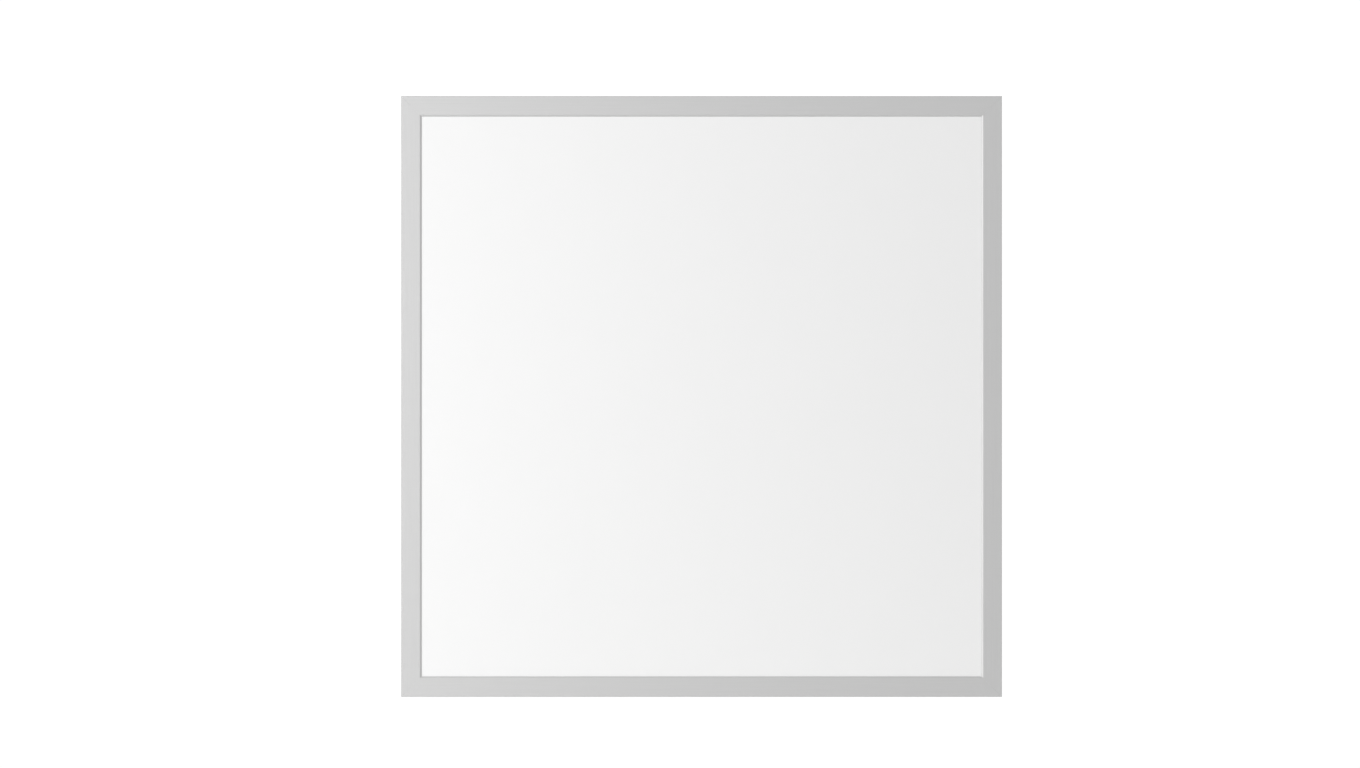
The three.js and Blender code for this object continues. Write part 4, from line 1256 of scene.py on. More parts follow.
def round_top(plate, keep_x):
    """Rounds the plate's outer edge at its top face, except along the joint at x = keep_x."""
    on_top = on_top_of(CASE_TOP)

    def outer(a, b):
        on_joint = abs(a.x - keep_x) < TINY and abs(b.x - keep_x) < TINY
        return on_top(a, b) and not on_joint

    return round_edges(plate, TOP_RADIUS, outer, 4)


def on_top_of(y):
    """A test for the edges that lie at that height."""
    return lambda a, b: abs(a.y - y) < TINY and abs(b.y - y) < TINY


def corners_at(x):
    """A test for the edges along Y that are near that end."""
    return lambda a, b: upright(a, b) and abs(a.x - x) < MM


def long_lip(start, end, side):
    z = sorted((side * (LIP_Z - LIP_THICKNESS), side * LIP_Z))
    return block("long_lip", (start, LID_Y - LIP_DEPTH, z[0]), (end, LID_Y + ROOT, z[1]))


def end_lip(half, side):
    x = sorted((side * (LIP_X - LIP_THICKNESS), side * LIP_X))
    return block("end_lip", (x[0], LID_Y - LIP_DEPTH, -half), (x[1], LID_Y + ROOT, half))


def snap_hook(x, side):
    """A hook that slopes below, so that it slides in over the tray's rim."""
    top = CASE_RIM - SNAP["from_top"] + SNAP["height"] - FIT
    bottom = CASE_RIM - SNAP["from_top"] + FIT
    inner = side * (LIP_Z - LIP_THICKNESS / 2)
    face, tip = side * LIP_Z, side * (CASE_Z - CASE_WALL + SNAP["hook"])
    start = x - SNAP["length"] / 2 + FIT
    corners = [(bottom, inner), (top, inner), (top, tip), (top - SNAP["land"], tip), (bottom, face)]
    outline = [(start, y, z) for y, z in corners]
    return prism("snap_hook", outline, (SNAP["length"] - 2 * FIT, 0, 0))


VENT = {"count": 7, "width": 2 * MM, "length": 22 * MM, "pitch": 6 * MM, "from_end": 38 * MM}
LABEL_RECESS = {"x0": -12 * MM, "x1": 44 * MM, "half": 18 * MM, "depth": 0.25 * MM}
LABEL_RECESS["corner"] = 2 * MM


def vent_slots():
    slots = []
    for i in range(VENT["count"]):
        x = -CASE_X + VENT["from_end"] + i * VENT["pitch"]
        half = VENT["length"] / 2
        lowest = (x, LID_Y - PAST, -half)
        highest = (x + VENT["width"], CASE_TOP + PAST, half)
        slots.append(rounded_box("vent_slot", lowest, highest, 0.49 * VENT["width"], 6))
    return slots


def make_case_cover():
    joint = LID_X - FIT
    plate = block("moulded_case_cover", (-CASE_X, LID_Y, -CASE_Z), (joint, CASE_TOP, CASE_Z))
    round_edges(plate, CASE_CORNER, corners_at(-CASE_X), 8)
    round_top(plate, joint)
    barrier_x = joint - BARRIER_THICKNESS
    barrier_foot = high("driver_board").y + FIT
    barrier = block("barrier", (barrier_x, barrier_foot, -LIP_Z), (joint, LID_Y + ROOT, LIP_Z))
    start, end = -LIP_X + 2 * MM, joint - 0.8 * MM
    hooks = [snap_hook(x, side) for x in SNAP_X for side in (-1, 1)]
    lips = [long_lip(start, end, 1), long_lip(start, end, -1), end_lip(LIP_Z - 2 * MM, -1)]
    weld(plate, barrier, *lips, *hooks)
    recess = rounded_box(
        "label_recess",
        (LABEL_RECESS["x0"], CASE_TOP - LABEL_RECESS["depth"], -LABEL_RECESS["half"]),
        (LABEL_RECESS["x1"], CASE_TOP + PAST, LABEL_RECESS["half"]),
        LABEL_RECESS["corner"],
    )
    carve(plate, recess, *vent_slots())
    soften(plate, COVER_MOULD_RADIUS)
    finish(plate, moulded_polycarbonate(), ["driver_cover"])


NOTCH = {"radius": 8 * MM, "depth": 0.8 * MM, "reach": 4 * MM}
GRIP = {"count": 4, "length": 16 * MM, "width": 0.8 * MM, "pitch": 1.8 * MM, "depth": 0.4 * MM}


def grip_grooves(middle):
    """The grooves above the notch, where a thumb pushes the lid open."""
    grooves = []
    for i in range(GRIP["count"]):
        z = -CASE_Z + NOTCH["reach"] + (i + 1) * GRIP["pitch"]
        half = GRIP["length"] / 2 - i * GRIP["pitch"]
        lowest = (middle - half, CASE_TOP - GRIP["depth"], z)
        highest = (middle + half, CASE_TOP + PAST, z + GRIP["width"])
        grooves.append(block("grip_groove", lowest, highest))
    return grooves


def make_lid():
    plate = block("moulded_terminal_lid", (LID_X, LID_Y, -CASE_Z), (CASE_X, CASE_TOP, CASE_Z))
    round_edges(plate, CASE_CORNER, corners_at(CASE_X), 8)
    round_top(plate, LID_X)
    middle = (LID_X + CASE_X) / 2
    lips = [long_lip(LID_X + MM, LIP_X - MM, -1), end_lip(LIP_Z - MM, 1)]
    webs = []
    for span in LID_KNUCKLES:
        start, end = (LID_X + x * MM for x in span)
        web = block("knuckle_web", (start, LID_Y, CASE_Z - 2 * MM), (end, CASE_TOP, HINGE.z))
        webs += [web, knuckle("lid_knuckle", span)]
    weld(plate, *lips, *webs)
    centre_z = -CASE_Z + NOTCH["reach"] - NOTCH["radius"]
    bottom = CASE_TOP - NOTCH["depth"]
    notch = upright_rod("thumb_notch", NOTCH["radius"], middle, centre_z, bottom, CASE_TOP + PAST, 64)
    carve(plate, pin_bore(), notch, *grip_grooves(middle))
    soften(plate, COVER_MOULD_RADIUS)
    finish(plate, moulded_polycarbonate(), ["terminal_lid"], body="lid")


def make_pin():
    pin_low, pin_high = SIDE["lid_hinge_pin"]
    radius = (pin_high.y - pin_low.y) / 2
    pin = on_hinge("steel_hinge_pin", radius, pin_low.x, pin_high.x, 32)
    soften(pin, 0.3 * MM, 3)
    finish(pin, zinc_plated_steel(), ["lid_hinge_pin"])


# ---------------------------------------------------------------- supply terminal and clamp

BUTTONS = {
    "release_button_live": "live_button",
    "release_button_neutral": "neutral_button",
    "release_button_earth": "earth_button",
}
TERMINAL_RADIUS = 1.2 * MM
ENTRY_BORE = {"radius": 1.8 * MM, "depth": 9 * MM, "lift": 4 * MM, "funnel": 0.8 * MM}


def make_terminal():
    body_low, body_high = SIDE["supply_terminal"]
    terminal = block("push_in_terminal", body_low, body_high)
    round_edges(terminal, TERMINAL_RADIUS, on_top_of(body_high.y), 3)
    entry_y = body_low.y + ENTRY_BORE["lift"]
    tools, contacts = [], []
    for node in BUTTONS:
        button_low, button_high = SIDE[node]
        z = middle_of(node).z
        travel = JOINTS["live_release"]["range_m"][1]
        pocket_low = (button_low.x - FIT, button_low.y - travel - FIT, button_low.z - FIT)
        pocket_high = (button_high.x + FIT, body_high.y + PAST, button_high.z + FIT)
        tools.append(block("button_pocket", pocket_low, pocket_high))
        back = body_high.x - ENTRY_BORE["depth"]
        tools.append(wire_entry(back, entry_y, z))
        contacts.append(contact_blade(back, entry_y, z))
    poles = sorted(middle_of(node).z for node in BUTTONS)
    for lower, upper in zip(poles, poles[1:]):
        seam = (lower + upper) / 2
        tools.append(seam_groove(body_low, body_high, seam))
    carve(terminal, *tools)
    soften(terminal, 0.15 * MM)
    finish(terminal, moulded_polyamide(*GREY), ["supply_terminal"])
    blades = join("terminal_contacts", *contacts)
    finish(blades, tinned_copper())


def wire_entry(back, y, z):
    """A bore that widens into a cone at its mouth, where it takes the stripped core."""
    radius, depth, funnel = ENTRY_BORE["radius"], ENTRY_BORE["depth"], ENTRY_BORE["funnel"]
    profile = [(0, 0), (radius, 0), (radius, depth - funnel), (radius + 2 * funnel, depth + funnel)]
    bore = turned("wire_entry", profile + [(0, depth + funnel)])
    return lay_along_x(bore, (back, y, z))


def seam_groove(body_low, body_high, z):
    """A shallow line round the moulding between two poles: a box less a smaller core."""
    depth, half = 0.35 * MM, 0.3 * MM
    top = body_high.y - depth
    outer = block(
        "seam",
        (body_low.x - PAST, body_low.y + 2 * MM, z - half),
        (body_high.x + PAST, body_high.y + PAST, z + half),
    )
    core = block(
        "seam_core",
        (body_low.x + depth, body_low.y, z - PAST),
        (body_high.x - depth, top, z + PAST),
    )
    round_edges(core, TERMINAL_RADIUS - depth, on_top_of(top), 3)
    return carve(outer, core)


def contact_blade(x, y, z):
    """The sprung leaf seen at the back of a wire entry."""
    reach, thin, half = 3 * MM, 0.4 * MM, 1.1 * MM
    outline = [(x, y + 1.1 * MM, z - half), (x + reach, y - 0.6 * MM, z - half)]
    outline += [(x + reach, y - 0.6 * MM - thin, z - half), (x, y + 1.1 * MM - thin, z - half)]
    return soften(prism("contact_blade", outline, (0, 0, 2 * half)), 0.05 * MM)


BUTTON = {"edge": 0.5 * MM, "slot_depth": 0.6 * MM, "slot_half": 0.4 * MM}


def make_buttons():
    for node, body in BUTTONS.items():
        button_low, button_high = SIDE[node]
        z = middle_of(node).z
        button = block(node.replace("button", "key"), button_low, button_high)
        round_edges(button, BUTTON["edge"], on_top_of(button_high.y), 4)
        top = button_high.y
        slot = block(
            "driver_slot",
            (button_low.x - PAST, top - BUTTON["slot_depth"], z - BUTTON["slot_half"]),
            (button_high.x + PAST, top + PAST, z + BUTTON["slot_half"]),
        )
        carve(button, slot)
        soften(button, 0.12 * MM)
        finish(button, moulded_polyamide(*ORANGE), [node], body)


CLAMP = {"ridge": 1 * MM, "corner": 2.5 * MM, "ridge_x": 2.5 * MM, "ridge_half": 0.6 * MM}
CLAMP |= {"from_post": 5 * MM, "hole": 1.5 * MM}
HOLLOW = {"half": 3.4 * MM, "depth": 1.1 * MM, "from_post": 5.5 * MM, "corner": 1.5 * MM}


def make_clamp():
    clamp_low, clamp_high = SIDE["cable_clamp"]
    foot = clamp_low.y + CLAMP["ridge"]
    bar_low = (clamp_low.x, foot, clamp_low.z)
    bar = rounded_box("cable_clamp_bar", bar_low, clamp_high, CLAMP["corner"])
    posts = sorted(middle_of(node).z for node in CLAMP_SCREWS)
    middle = middle_of("cable_clamp")
    for side in (-1, 1):
        x = middle.x + side * CLAMP["ridge_x"]
        z0, z1 = posts[0] + CLAMP["from_post"], posts[1] - CLAMP["from_post"]
        thin = CLAMP["ridge_half"]
        outline = [(x - thin, foot + ROOT), (x - thin, foot), (x, clamp_low.y), (x + thin, foot)]
        outline.append((x + thin, foot + ROOT))
        weld(bar, prism("clamp_ridge", [(px, py, z0) for px, py in outline], (0, 0, z1 - z0)))
    hollow = rounded_box(
        "clamp_hollow",
        (middle.x - HOLLOW["half"], clamp_high.y - HOLLOW["depth"], posts[0] + HOLLOW["from_post"]),
        (middle.x + HOLLOW["half"], clamp_high.y + PAST, posts[1] - HOLLOW["from_post"]),
        HOLLOW["corner"],
    )
    holes = []
    for z in posts:
        ends = (foot - PAST, clamp_high.y + PAST)
        holes.append(upright_rod("clamp_hole", CLAMP["hole"], middle.x, z, *ends, 24))
    carve(bar, hollow, *holes)
    soften(bar, 0.25 * MM)
    finish(bar, moulded_polyamide(*GREY), ["cable_clamp"])


# ---------------------------------------------------------------- driver board


def make_board():
    board_low, board_high = SIDE["driver_board"]
    board = rounded_box("circuit_board", board_low, board_high, 1 * MM, 3)
    soften(board, 0.08 * MM, 1)
    mask = green_solder_mask("laminate", "#23593a", "#1e4f33")
    finish(board, mask, ["driver_board"])


TRACK_HEIGHT = 0.08 * MM
BOARD_SOFT = 0.08 * MM
TRACKS = [
    # width, then the corners that the track runs through, as (x, z)
    (1.8, (52, 8), (48, 8), (48, 21), (36, 21), (36, 16)),
    (1.8, (52, 0), (40, 0), (40, -6), (36, -6)),
    (1.8, (52, -8), (50, -8), (50, -14)),
    (2.4, (60, -22), (-80, -22)),
    (1.8, (39, -16), (36, -16)),
    (1.2, (12, 10), (9, 10), (9, 15), (-27, 15)),
    (1.6, (30, 21.5), (-68, 21.5)),
    (1.2, (8, -9), (16, -9)),
    (1.2, (8, -4), (12, -4), (12, 4)),
    (1.6, (-22, -9), (-33, -9)),
    (1.0, (-22, -3), (-57, -3)),
    (1.0, (-22, 3), (-57, 3)),
    (0.8, (-22, 9), (-26, 9), (-26, 12)),
    (1.6, (-51, -11), (-71, -11), (-71, -4)),
    (1.6, (-62, 3), (-72, 3)),
    (0.8, (-57, 12), (-36, 12), (-36, 16)),
    (0.8, (-66, 13), (-70, 13)),
]
JOINT_PROFILE = [(0, 0), (1, 0), (0.9, 0.12), (0.5, 0.35), (0.36, 0.9), (0, 1)]


def make_tracks():
    """The copper tracks stand just proud of the board, and end in soldered joints."""
    top = high("driver_board").y
    routes, joints = [], []
    for width, *corners in TRACKS:
        half = width / 2
        straights = []
        for (x0, z0), (x1, z1) in zip(corners, corners[1:]):
            lowest = ((min(x0, x1) - half) * MM, top, (min(z0, z1) - half) * MM)
            highest = ((max(x0, x1) + half) * MM, top + TRACK_HEIGHT, (max(z0, z1) + half) * MM)
            straights.append(block("track", lowest, highest))
        routes.append(weld(*straights))
        profile = [(r * half * MM, y * MM) for r, y in JOINT_PROFILE]
        for x, z in (corners[0], corners[-1]):
            centre = (x * MM, top + TRACK_HEIGHT, z * MM)
            joints.append(turned("soldered_joint", profile, centre, sides=12))
    tracks = join("board_tracks", *routes)
    finish(tracks, green_solder_mask("copper", "#3a8052", "#337549"))
    finish(smooth(join("board_joints", *joints)), tinned_copper())


def make_transformer():
    core = softened_copy("transformer_core", "ferrite_core", 0.35 * MM, 3)
    finish(core, ferrite(), ["transformer_core"])
    winding = softened_copy("transformer_winding", "taped_winding", 0.8 * MM, 4)
    finish(winding, polyester_tape(), ["transformer_winding"])


# The can's groove as (up from the foot, depth), then its end: the rolled edge, the height of the
# vent's raised middle and how far in it starts and ends.
CAN_EDGE = 0.6 * MM
CAN_GROOVE = [(2 * MM, 0), (2.6 * MM, 0.5 * MM), (3 * MM, 0.5 * MM), (3.6 * MM, 0)]
CAN_END = {"side": 1.2 * MM, "rise": 0.5 * MM, "rim": 1.2 * MM, "step": 1.3 * MM, "crown": 0.1 * MM}
CAN_END["bare"] = 0.55 * MM


def capacitor(name, node):
    """A can in its sleeve, with a rolled groove near its foot and a scored vent on its end."""
    can_low, can_high = SIDE[node]
    radius = (can_high.z - can_low.z) / 2
    centre = middle_of(node)
    length = can_high.x - can_low.x
    edge, rise = CAN_EDGE, CAN_END["rise"]
    profile = [(0, 0), (radius - edge, 0)] + arc((radius - edge, edge), edge, -90, 0, 4)
    profile += [(radius - depth, up) for up, depth in CAN_GROOVE]
    profile += [(radius, length - CAN_END["side"])]
    profile += arc((radius - edge, length - edge - rise), edge, 0, 90, 4)
    profile += [(radius - CAN_END["rim"], length - rise)]
    profile += [(radius - CAN_END["step"], length - CAN_END["crown"]), (0, length)]
    can = lay_along_x(turned(name, profile, sides=40), (can_low.x, centre.y, centre.z))
    can.data.materials.append(shrink_sleeve())
    can.data.materials.append(rolled_aluminium())
    end = can_high.x - CAN_END["bare"]
    with editing(can):
        pick_faces(can, lambda middle, normal: middle.x > end)
        can.active_material_index = 1
        bpy.ops.object.material_slot_assign()
    smooth(can)
    finish(can, None, [node])


CHOKE = {"wire": 0.45 * MM, "turns": 22, "steps": 12, "start": 30, "sweep": 300}


def make_choke():
    """A ring core wound with enamelled wire."""
    ring_low, ring_high = SIDE["input_choke"]
    centre = middle_of("input_choke")
    thick = (ring_high.y - ring_low.y) / 2
    radius = (ring_high.x - ring_low.x) / 2 - thick
    wire = CHOKE["wire"]
    deselect()
    bpy.ops.mesh.primitive_torus_add(
        major_radius=radius,
        minor_radius=thick - 2 * wire,
        major_segments=48,
        minor_segments=16,
        location=centre,
        rotation=(math.pi / 2, 0, 0),
    )
    core = settle("choke_core")
    smooth(core)
    finish(core, ferrite(), ["input_choke"])
    turns, steps = CHOKE["turns"], CHOKE["steps"]
    reach = thick - wire
    points = []
    for i in range(turns * steps + 1):
        around = (CHOKE["start"] + CHOKE["sweep"] * i / (turns * steps)) * DEGREE
        about = 2 * math.pi * i / steps
        across = radius + reach * math.cos(about)
        x, z = across * math.cos(around), across * math.sin(around)
        points.append(centre + Vector((x, reach * math.sin(about), z)))
    coil = tube("choke_winding", points, wire, 6)
    finish(coil, enamelled_copper())


def tube(name, points, radius, sides=8):
    """A round wire through the points."""
    curve = bpy.data.curves.new(name, "CURVE")
    curve.dimensions = "3D"
    curve.bevel_depth = radius
    curve.bevel_resolution = max(0, sides // 4)
    curve.use_fill_caps = True
    spline = curve.splines.new("POLY")
    spline.points.add(len(points) - 1)
    for slot, point in zip(spline.points, points):
        slot.co = (*point, 1)
    wire = bpy.data.objects.new(name, curve)
    bpy.context.scene.collection.objects.link(wire)
    activate(wire)
    bpy.ops.object.convert(target="MESH")
    mesh_wire = bpy.context.object
    mesh_wire.name = name
    bpy.ops.object.shade_smooth()
    return outward(mesh_wire)


LEAD_ENTRY = {"half_y": 0.75 * MM, "half_z": 1.45 * MM, "depth": 6 * MM}
LATCH = {"start": 3 * MM, "end": 1 * MM, "depth": 0.8 * MM, "half": 0.8 * MM}


def make_output_socket():
    socket_low, socket_high = SIDE["output_socket"]
    socket = block("output_connector", socket_low, socket_high)
    y = middle_of("output_socket").y
    tools = []
    for node in ("lead_left", "lead_right"):
        z = middle_of(node).z
        half_y, half_z = LEAD_ENTRY["half_y"], LEAD_ENTRY["half_z"]
        lowest = (socket_low.x - PAST, y - half_y, z - half_z)
        highest = (socket_low.x + LEAD_ENTRY["depth"], y + half_y, z + half_z)
        tools.append(block("lead_entry", lowest, highest))
        lowest = (socket_high.x - LATCH["start"], socket_high.y - LATCH["depth"], z - LATCH["half"])
        highest = (socket_high.x - LATCH["end"], socket_high.y + PAST, z + LATCH["half"])
        tools.append(block("latch_slot", lowest, highest))
    carve(socket, *tools)
    soften(socket, 0.2 * MM)
    finish(socket, moulded_polyamide(*WHITE), ["output_socket"])


SMALL_PARTS = [
    # kind, x, z, along X, along Z, height
    ("chip", -62, 12, 7, 5, 1.6),
    ("chip", -30, 15, 4, 5, 1.4),
    ("resistor", -60, -2, 3.2, 1.6, 0.6),
    ("resistor", -60, 3, 3.2, 1.6, 0.6),
    ("resistor", -70, 16, 1.6, 3.2, 0.6),
    ("resistor", -38, 18, 3.2, 1.6, 0.6),
    ("resistor", -25, -18, 1.6, 3.2, 0.6),
    ("resistor", 10, 3, 3.2, 1.6, 0.6),
    ("resistor", 44, -6, 1.6, 3.2, 0.6),
    ("resistor", 44, 1, 1.6, 3.2, 0.6),
    ("film", -66, -17, 12, 5, 10),
    ("film", 42, 12, 5, 13, 11),
    ("bridge", 44, -16, 8, 6, 2.6),
]
PART_FINISH = {
    "chip": ("#26272a", "#1c1d1f"),
    "resistor": ("#2a2b2e", "#202124"),
    "film": ("#c8a33a", "#b8932e"),
    "bridge": ("#222325", "#191a1c"),
}


# A leg's half size in millimetres and its height over the board. The legs' spacing and the part's
# edge radius are shares of the part's size.
LEG = {"size": (0.35, 0.2, 0.35), "apart": 0.32, "lift": 0.2 * MM, "part_gap": 0.05 * MM, "soft": 0.12}


def make_small_parts():
    """The board's small components, and their metal ends and legs."""
    top = high("driver_board").y
    bodies, ends = {}, []
    for kind, x, z, wide, long, tall in SMALL_PARTS:
        x, z, wide, long, tall = (value * MM for value in (x, z, wide, long, tall))
        lowest = (x - wide / 2, top + LEG["part_gap"], z - long / 2)
        highest = (x + wide / 2, top + tall, z + long / 2)
        part = block("small_part", lowest, highest)
        soften(part, min(tall, wide) * LEG["soft"])
        bodies.setdefault(kind, []).append(part)
        along_x = wide > long
        for end in (-1, 1):
            legs = 1 if kind in ("resistor", "film") else 3
            for leg in range(legs):
                shift = (leg - (legs - 1) / 2) * min(wide, long) * LEG["apart"]
                offset = Vector((end * wide / 2, 0, shift) if along_x else (shift, 0, end * long / 2))
                middle = Vector((x, top + LEG["lift"], z)) + offset
                size = Vector(LEG["size"]) * MM
                ends.append(soften(block("leg", middle - size, middle + size), BOARD_SOFT))
    for kind, parts in bodies.items():
        light, dark = PART_FINISH[kind]
        group = join(f"board_{kind}s", *parts)
        finish(group, moulded_polyamide(kind, light, dark))
    finish(join("board_legs", *ends), tinned_copper())


# ---------------------------------------------------------------- leads

LEAD = {"core": 0.58 * MM, "apart": 0.68 * MM, "bend": 1.6 * MM, "steps": 6, "web": 0.3 * MM}
LEAD |= {"half_thick": 0.6 * MM, "in_socket": 5.7 * MM}


def lead_route(node, side):
    """The points along a lead: out of the socket, down through the grommet, along its groove."""
    lead_low, lead_high = SIDE[node]
    z = middle_of(node).z
    socket_y = middle_of("output_socket").y
    groove_y = lead_low.y + LEAD["half_thick"]
    x = middle_of("cable_grommet").x
    end = lead_low.x if side < 0 else lead_high.x
    start = low("output_socket").x + LEAD["in_socket"]
    r = LEAD["bend"]
    points = [Vector((start, socket_y, z))]
    points += quarter((x + r, socket_y), (x, socket_y), (x, socket_y - r), z)
    points += quarter((x, groove_y + r), (x, groove_y), (x + side * r, groove_y), z)
    return points + [Vector((end, groove_y, z))]


def quarter(start, corner, end, z):
    """A bend from start to end that rounds the corner."""
    a, b, c = (Vector((*point, z)) for point in (start, corner, end))
    steps = [i / LEAD["steps"] for i in range(LEAD["steps"] + 1)]
    return [(1 - t) ** 2 * a + 2 * t * (1 - t) * b + t * t * c for t in steps]


def make_leads():
    """Each lead is a pair of cores side by side in one flat sheath."""
    for node, side in (("lead_left", -1), ("lead_right", 1)):
        points = lead_route(node, side)
        cores = []
        for across in (-LEAD["apart"], LEAD["apart"]):
            shift = Vector((0, 0, across))
            cores.append(tube("lead_core", [point + shift for point in points], LEAD["core"], 12))
        web = tube("lead_web", points, LEAD["web"], 8)
        lead = join(node.replace("lead", "twin_lead"), *cores, web)
        finish(lead, lead_sheath(), [node])


# ---------------------------------------------------------------- stage

FLOOR = {"z": -0.56, "radius": 1.25, "thickness": 10 * MM, "edge": 3 * MM, "sides": 96}
FLOOR["mottle"] = 0.1
WORLD = {"glow": 0.5, "backdrop": 1.05}
CAMERA = {"lens": 100.0, "sensor": 36, "distance": 3.74, "x": -0.0213, "z": 0.0124}
LIGHTS = [
    # name, place, size, power
    ("key light", (-1.45, -1.41, 0.12), 1.4, 19.2),
    ("top light", (-0.4, -2.0, 1.4), 1.4, 5),
    ("fill light", (1.6, -2.2, 0.9), 1.2, 3.6),
    ("back light", (1.9, 1.5, 1.3), 1.0, 30),
]


def make_floor():
    deselect()
    bpy.ops.mesh.primitive_circle_add(
        vertices=FLOOR["sides"],
        radius=FLOOR["radius"],
        fill_type="NGON",
        location=(0, 0, FLOOR["z"]),
    )
    floor = settle("studio_floor")
    apply_modifier(floor, "SOLIDIFY", thickness=FLOOR["thickness"], offset=-1)
    soften(floor, FLOOR["edge"], 3)
    material = surface("matt floor paint", "#f2f2f1", roughness=0.7)
    vary_gloss(material, cloud(material, FLOOR["mottle"]), 0.65, 0.75)
    floor.data.materials.append(material)


def make_lights():
    for name, place, size, power in LIGHTS:
        deselect()
        bpy.ops.object.light_add(type="AREA", location=place)
        light = bpy.context.object
        light.name = name
        light.data.shape = "DISK"
        light.data.size = size
        light.data.energy = power
        light.rotation_euler = (-Vector(place)).to_track_quat("-Z", "Y").to_euler()


def make_world():
    """A white surround: full white behind the panel, and softer where it only lights it."""
    world = bpy.data.worlds.new("white surround")
    bpy.context.scene.world = world
    world.use_nodes = True
    tree = world.node_tree
    tree.nodes.clear()
    rays = add(tree, "ShaderNodeLightPath")
    glow = add(tree, "ShaderNodeBackground", {"Color": (1, 1, 1, 1), "Strength": WORLD["glow"]})
    backdrop = add(tree, "ShaderNodeBackground", {"Color": (1, 1, 1, 1), "Strength": WORLD["backdrop"]})
    mix = add(tree, "ShaderNodeMixShader", links={0: rays.outputs["Is Camera Ray"]})
    tree.links.new(glow.outputs[0], mix.inputs[1])
    tree.links.new(backdrop.outputs[0], mix.inputs[2])
    add(tree, "ShaderNodeOutputWorld", links={"Surface": mix.outputs[0]})


def make_camera():
    deselect()
    place = (CAMERA["x"], -CAMERA["distance"], CAMERA["z"])
    bpy.ops.object.camera_add(location=place, rotation=(math.pi / 2, 0, 0))
    camera = bpy.context.object
    camera.data.lens = CAMERA["lens"]
    camera.data.sensor_width = CAMERA["sensor"]
    bpy.context.scene.camera = camera
    bpy.context.scene.view_settings.view_transform = "Standard"


# ---------------------------------------------------------------- the add-on


def length_property(name, description, value):
    return bpy.props.FloatProperty(
        name=name, description=description, default=value * MM, unit="LENGTH"
    )


def colour_property(name, description, value):
    return bpy.props.StringProperty(name=name, description=description, default=value)


class PanelLightSizes(bpy.types.PropertyGroup):
    """Sizes of the finished pieces that can be set by themselves."""

    face_width: length_property("Face width", "Width of the frame's front face", 20.3)
    bevel_width: length_property("Inner slope width", "Width of the slope at the frame's inner edge", 1.7)
    bevel_depth: length_property("Inner slope depth", "How far the slope goes back", 1.0)
    edge_radius: length_property("Outer edge radius", "Radius of the frame's outer front edge", 0.5)
    die_radius: length_property("Die radius", "Small radius on every edge of the extrusion", 0.12)
    mitre_gap: length_property("Mitre gap", "Hairline between two rails at a corner", 0.08)
    bead_height: length_property("Bead height", "How far the back cover's beads are pressed out", 1.0)


class PanelLightColours(bpy.types.PropertyGroup):
    """Colours of the main finishes, as sRGB hex values."""

    frame: colour_property("Frame", "Colour of the anodised frame", "#d4d4d4")
    diffuser: colour_property("Diffuser", "Colour of the opal sheet", "#f6f6f6")
    cover: colour_property("Back cover", "Colour of the powder coat", "#e8e9e7")
    case: colour_property("Driver case", "Colour of the moulded case", "#f1f1ee")


class PANEL_LIGHT_OT_stage(bpy.types.Operator):
    """Set up the camera, the lights, the surround and the floor"""

    bl_idname = "panel_light.stage"
    bl_label = "Stage"

    def execute(self, context):
        make_camera()
        make_world()
        make_lights()
        make_floor()
        return {"FINISHED"}


class PANEL_LIGHT_OT_frame(bpy.types.Operator):
    """Model the four mitred rails and the corner keys"""

    bl_idname = "panel_light.frame"
    bl_label = "Frame"

    def execute(self, context):
        make_frame(context.scene.panel_light_sizes)
        make_corner_keys()
        return {"FINISHED"}


class PANEL_LIGHT_OT_optics(bpy.types.Operator):
    """Finish the sheets of the optical stack and model the LED strips"""

    bl_idname = "panel_light.optics"
    bl_label = "Optical stack"

    def execute(self, context):
        make_optical_stack()
        make_led_strips()
        return {"FINISHED"}


class PANEL_LIGHT_OT_back_cover(bpy.types.Operator):
    """Model the pressed back cover and its grommet"""

    bl_idname = "panel_light.back_cover"
    bl_label = "Back cover"

    def execute(self, context):
        make_back_cover(context.scene.panel_light_sizes)
        make_grommet()
        return {"FINISHED"}


class PANEL_LIGHT_OT_fasteners(bpy.types.Operator):
    """Model the screws and the rivet nuts"""

    bl_idname = "panel_light.fasteners"
    bl_label = "Screws and nuts"

    def execute(self, context):
        for group in (COVER_SCREWS, CASE_SCREWS, CLAMP_SCREWS):
            place_screws(group)
        make_hanger_nuts()
        return {"FINISHED"}


class PANEL_LIGHT_OT_case(bpy.types.Operator):
    """Model the driver case with its cover, hinged lid and pin"""

    bl_idname = "panel_light.case"
    bl_label = "Driver case"

    def execute(self, context):
        make_tray()
        make_case_cover()
        make_lid()
        make_pin()
        return {"FINISHED"}


class PANEL_LIGHT_OT_terminal(bpy.types.Operator):
    """Model the supply terminal, its release buttons and the cable clamp"""

    bl_idname = "panel_light.terminal"
    bl_label = "Supply terminal"

    def execute(self, context):
        make_terminal()
        make_buttons()
        make_clamp()
        return {"FINISHED"}


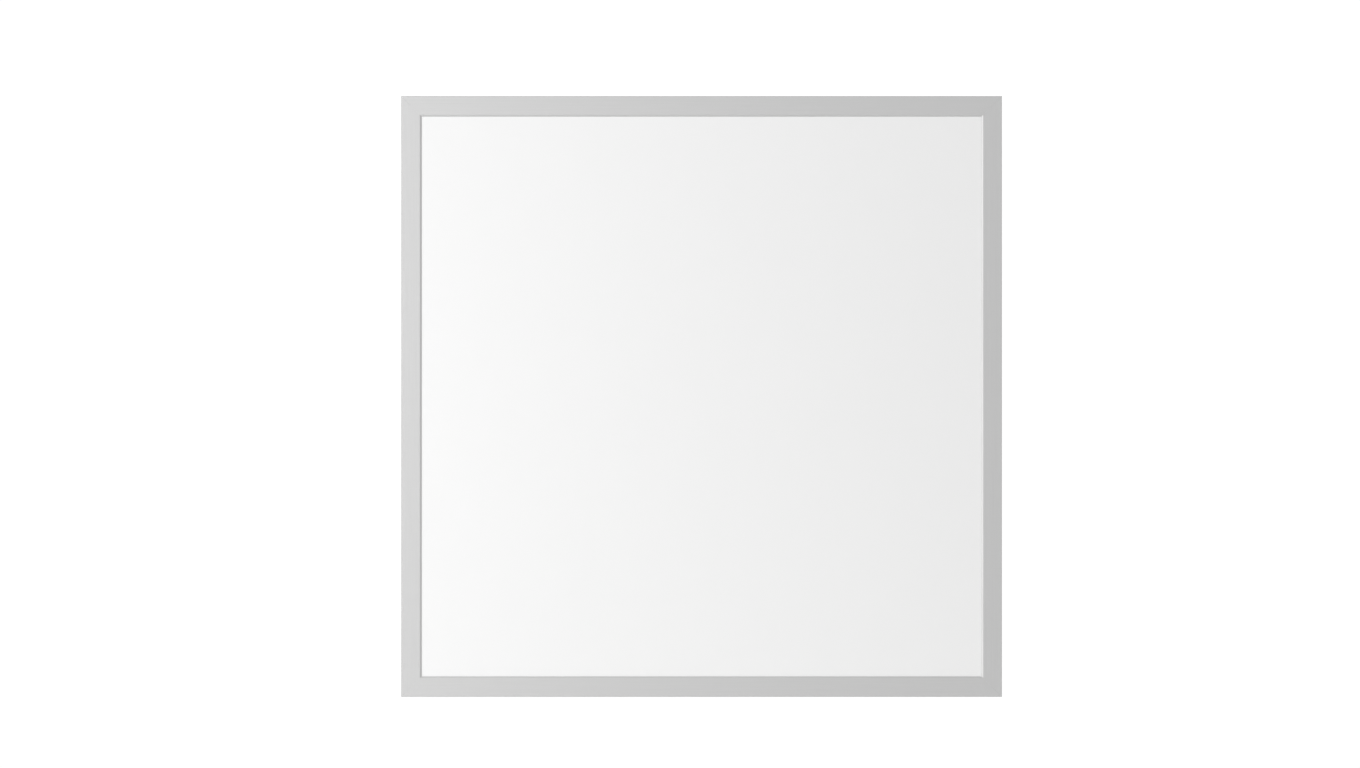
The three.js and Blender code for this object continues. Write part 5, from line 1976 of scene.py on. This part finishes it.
class PANEL_LIGHT_OT_board(bpy.types.Operator):
    """Model the driver board, its components and the leads"""

    bl_idname = "panel_light.board"
    bl_label = "Driver board"

    def execute(self, context):
        make_board()
        make_tracks()
        make_transformer()
        capacitor("mains_capacitor", "input_capacitor")
        capacitor("smoothing_capacitor", "output_capacitor")
        make_choke()
        make_output_socket()
        make_small_parts()
        make_leads()
        return {"FINISHED"}


STEPS = [
    PANEL_LIGHT_OT_stage,
    PANEL_LIGHT_OT_frame,
    PANEL_LIGHT_OT_optics,
    PANEL_LIGHT_OT_back_cover,
    PANEL_LIGHT_OT_fasteners,
    PANEL_LIGHT_OT_case,
    PANEL_LIGHT_OT_terminal,
    PANEL_LIGHT_OT_board,
]


class PANEL_LIGHT_PT_sidebar(bpy.types.Panel):
    """Lists the pieces of the panel light"""

    bl_idname = "PANEL_LIGHT_PT_sidebar"
    bl_label = "Panel light"
    bl_space_type = "VIEW_3D"
    bl_region_type = "UI"
    bl_category = "Panel light"

    def draw(self, context):
        for group in (context.scene.panel_light_sizes, context.scene.panel_light_colours):
            for key in group.bl_rna.properties.keys():
                if key not in ("rna_type", "name"):
                    self.layout.prop(group, key)
        for step in STEPS:
            self.layout.operator(step.bl_idname)


CLASSES = [PanelLightSizes, PanelLightColours, *STEPS, PANEL_LIGHT_PT_sidebar]


def register():
    for cls in CLASSES:
        bpy.utils.register_class(cls)
    bpy.types.Scene.panel_light_sizes = bpy.props.PointerProperty(type=PanelLightSizes)
    bpy.types.Scene.panel_light_colours = bpy.props.PointerProperty(type=PanelLightColours)


def unregister():
    del bpy.types.Scene.panel_light_colours
    del bpy.types.Scene.panel_light_sizes
    for cls in reversed(CLASSES):
        bpy.utils.unregister_class(cls)


def main():
    register()
    bpy.ops.panel_light.stage()
    bpy.ops.panel_light.frame()
    bpy.ops.panel_light.optics()
    bpy.ops.panel_light.back_cover()
    bpy.ops.panel_light.fasteners()
    bpy.ops.panel_light.case()
    bpy.ops.panel_light.terminal()
    bpy.ops.panel_light.board()


if __name__ == "__main__":
    main()
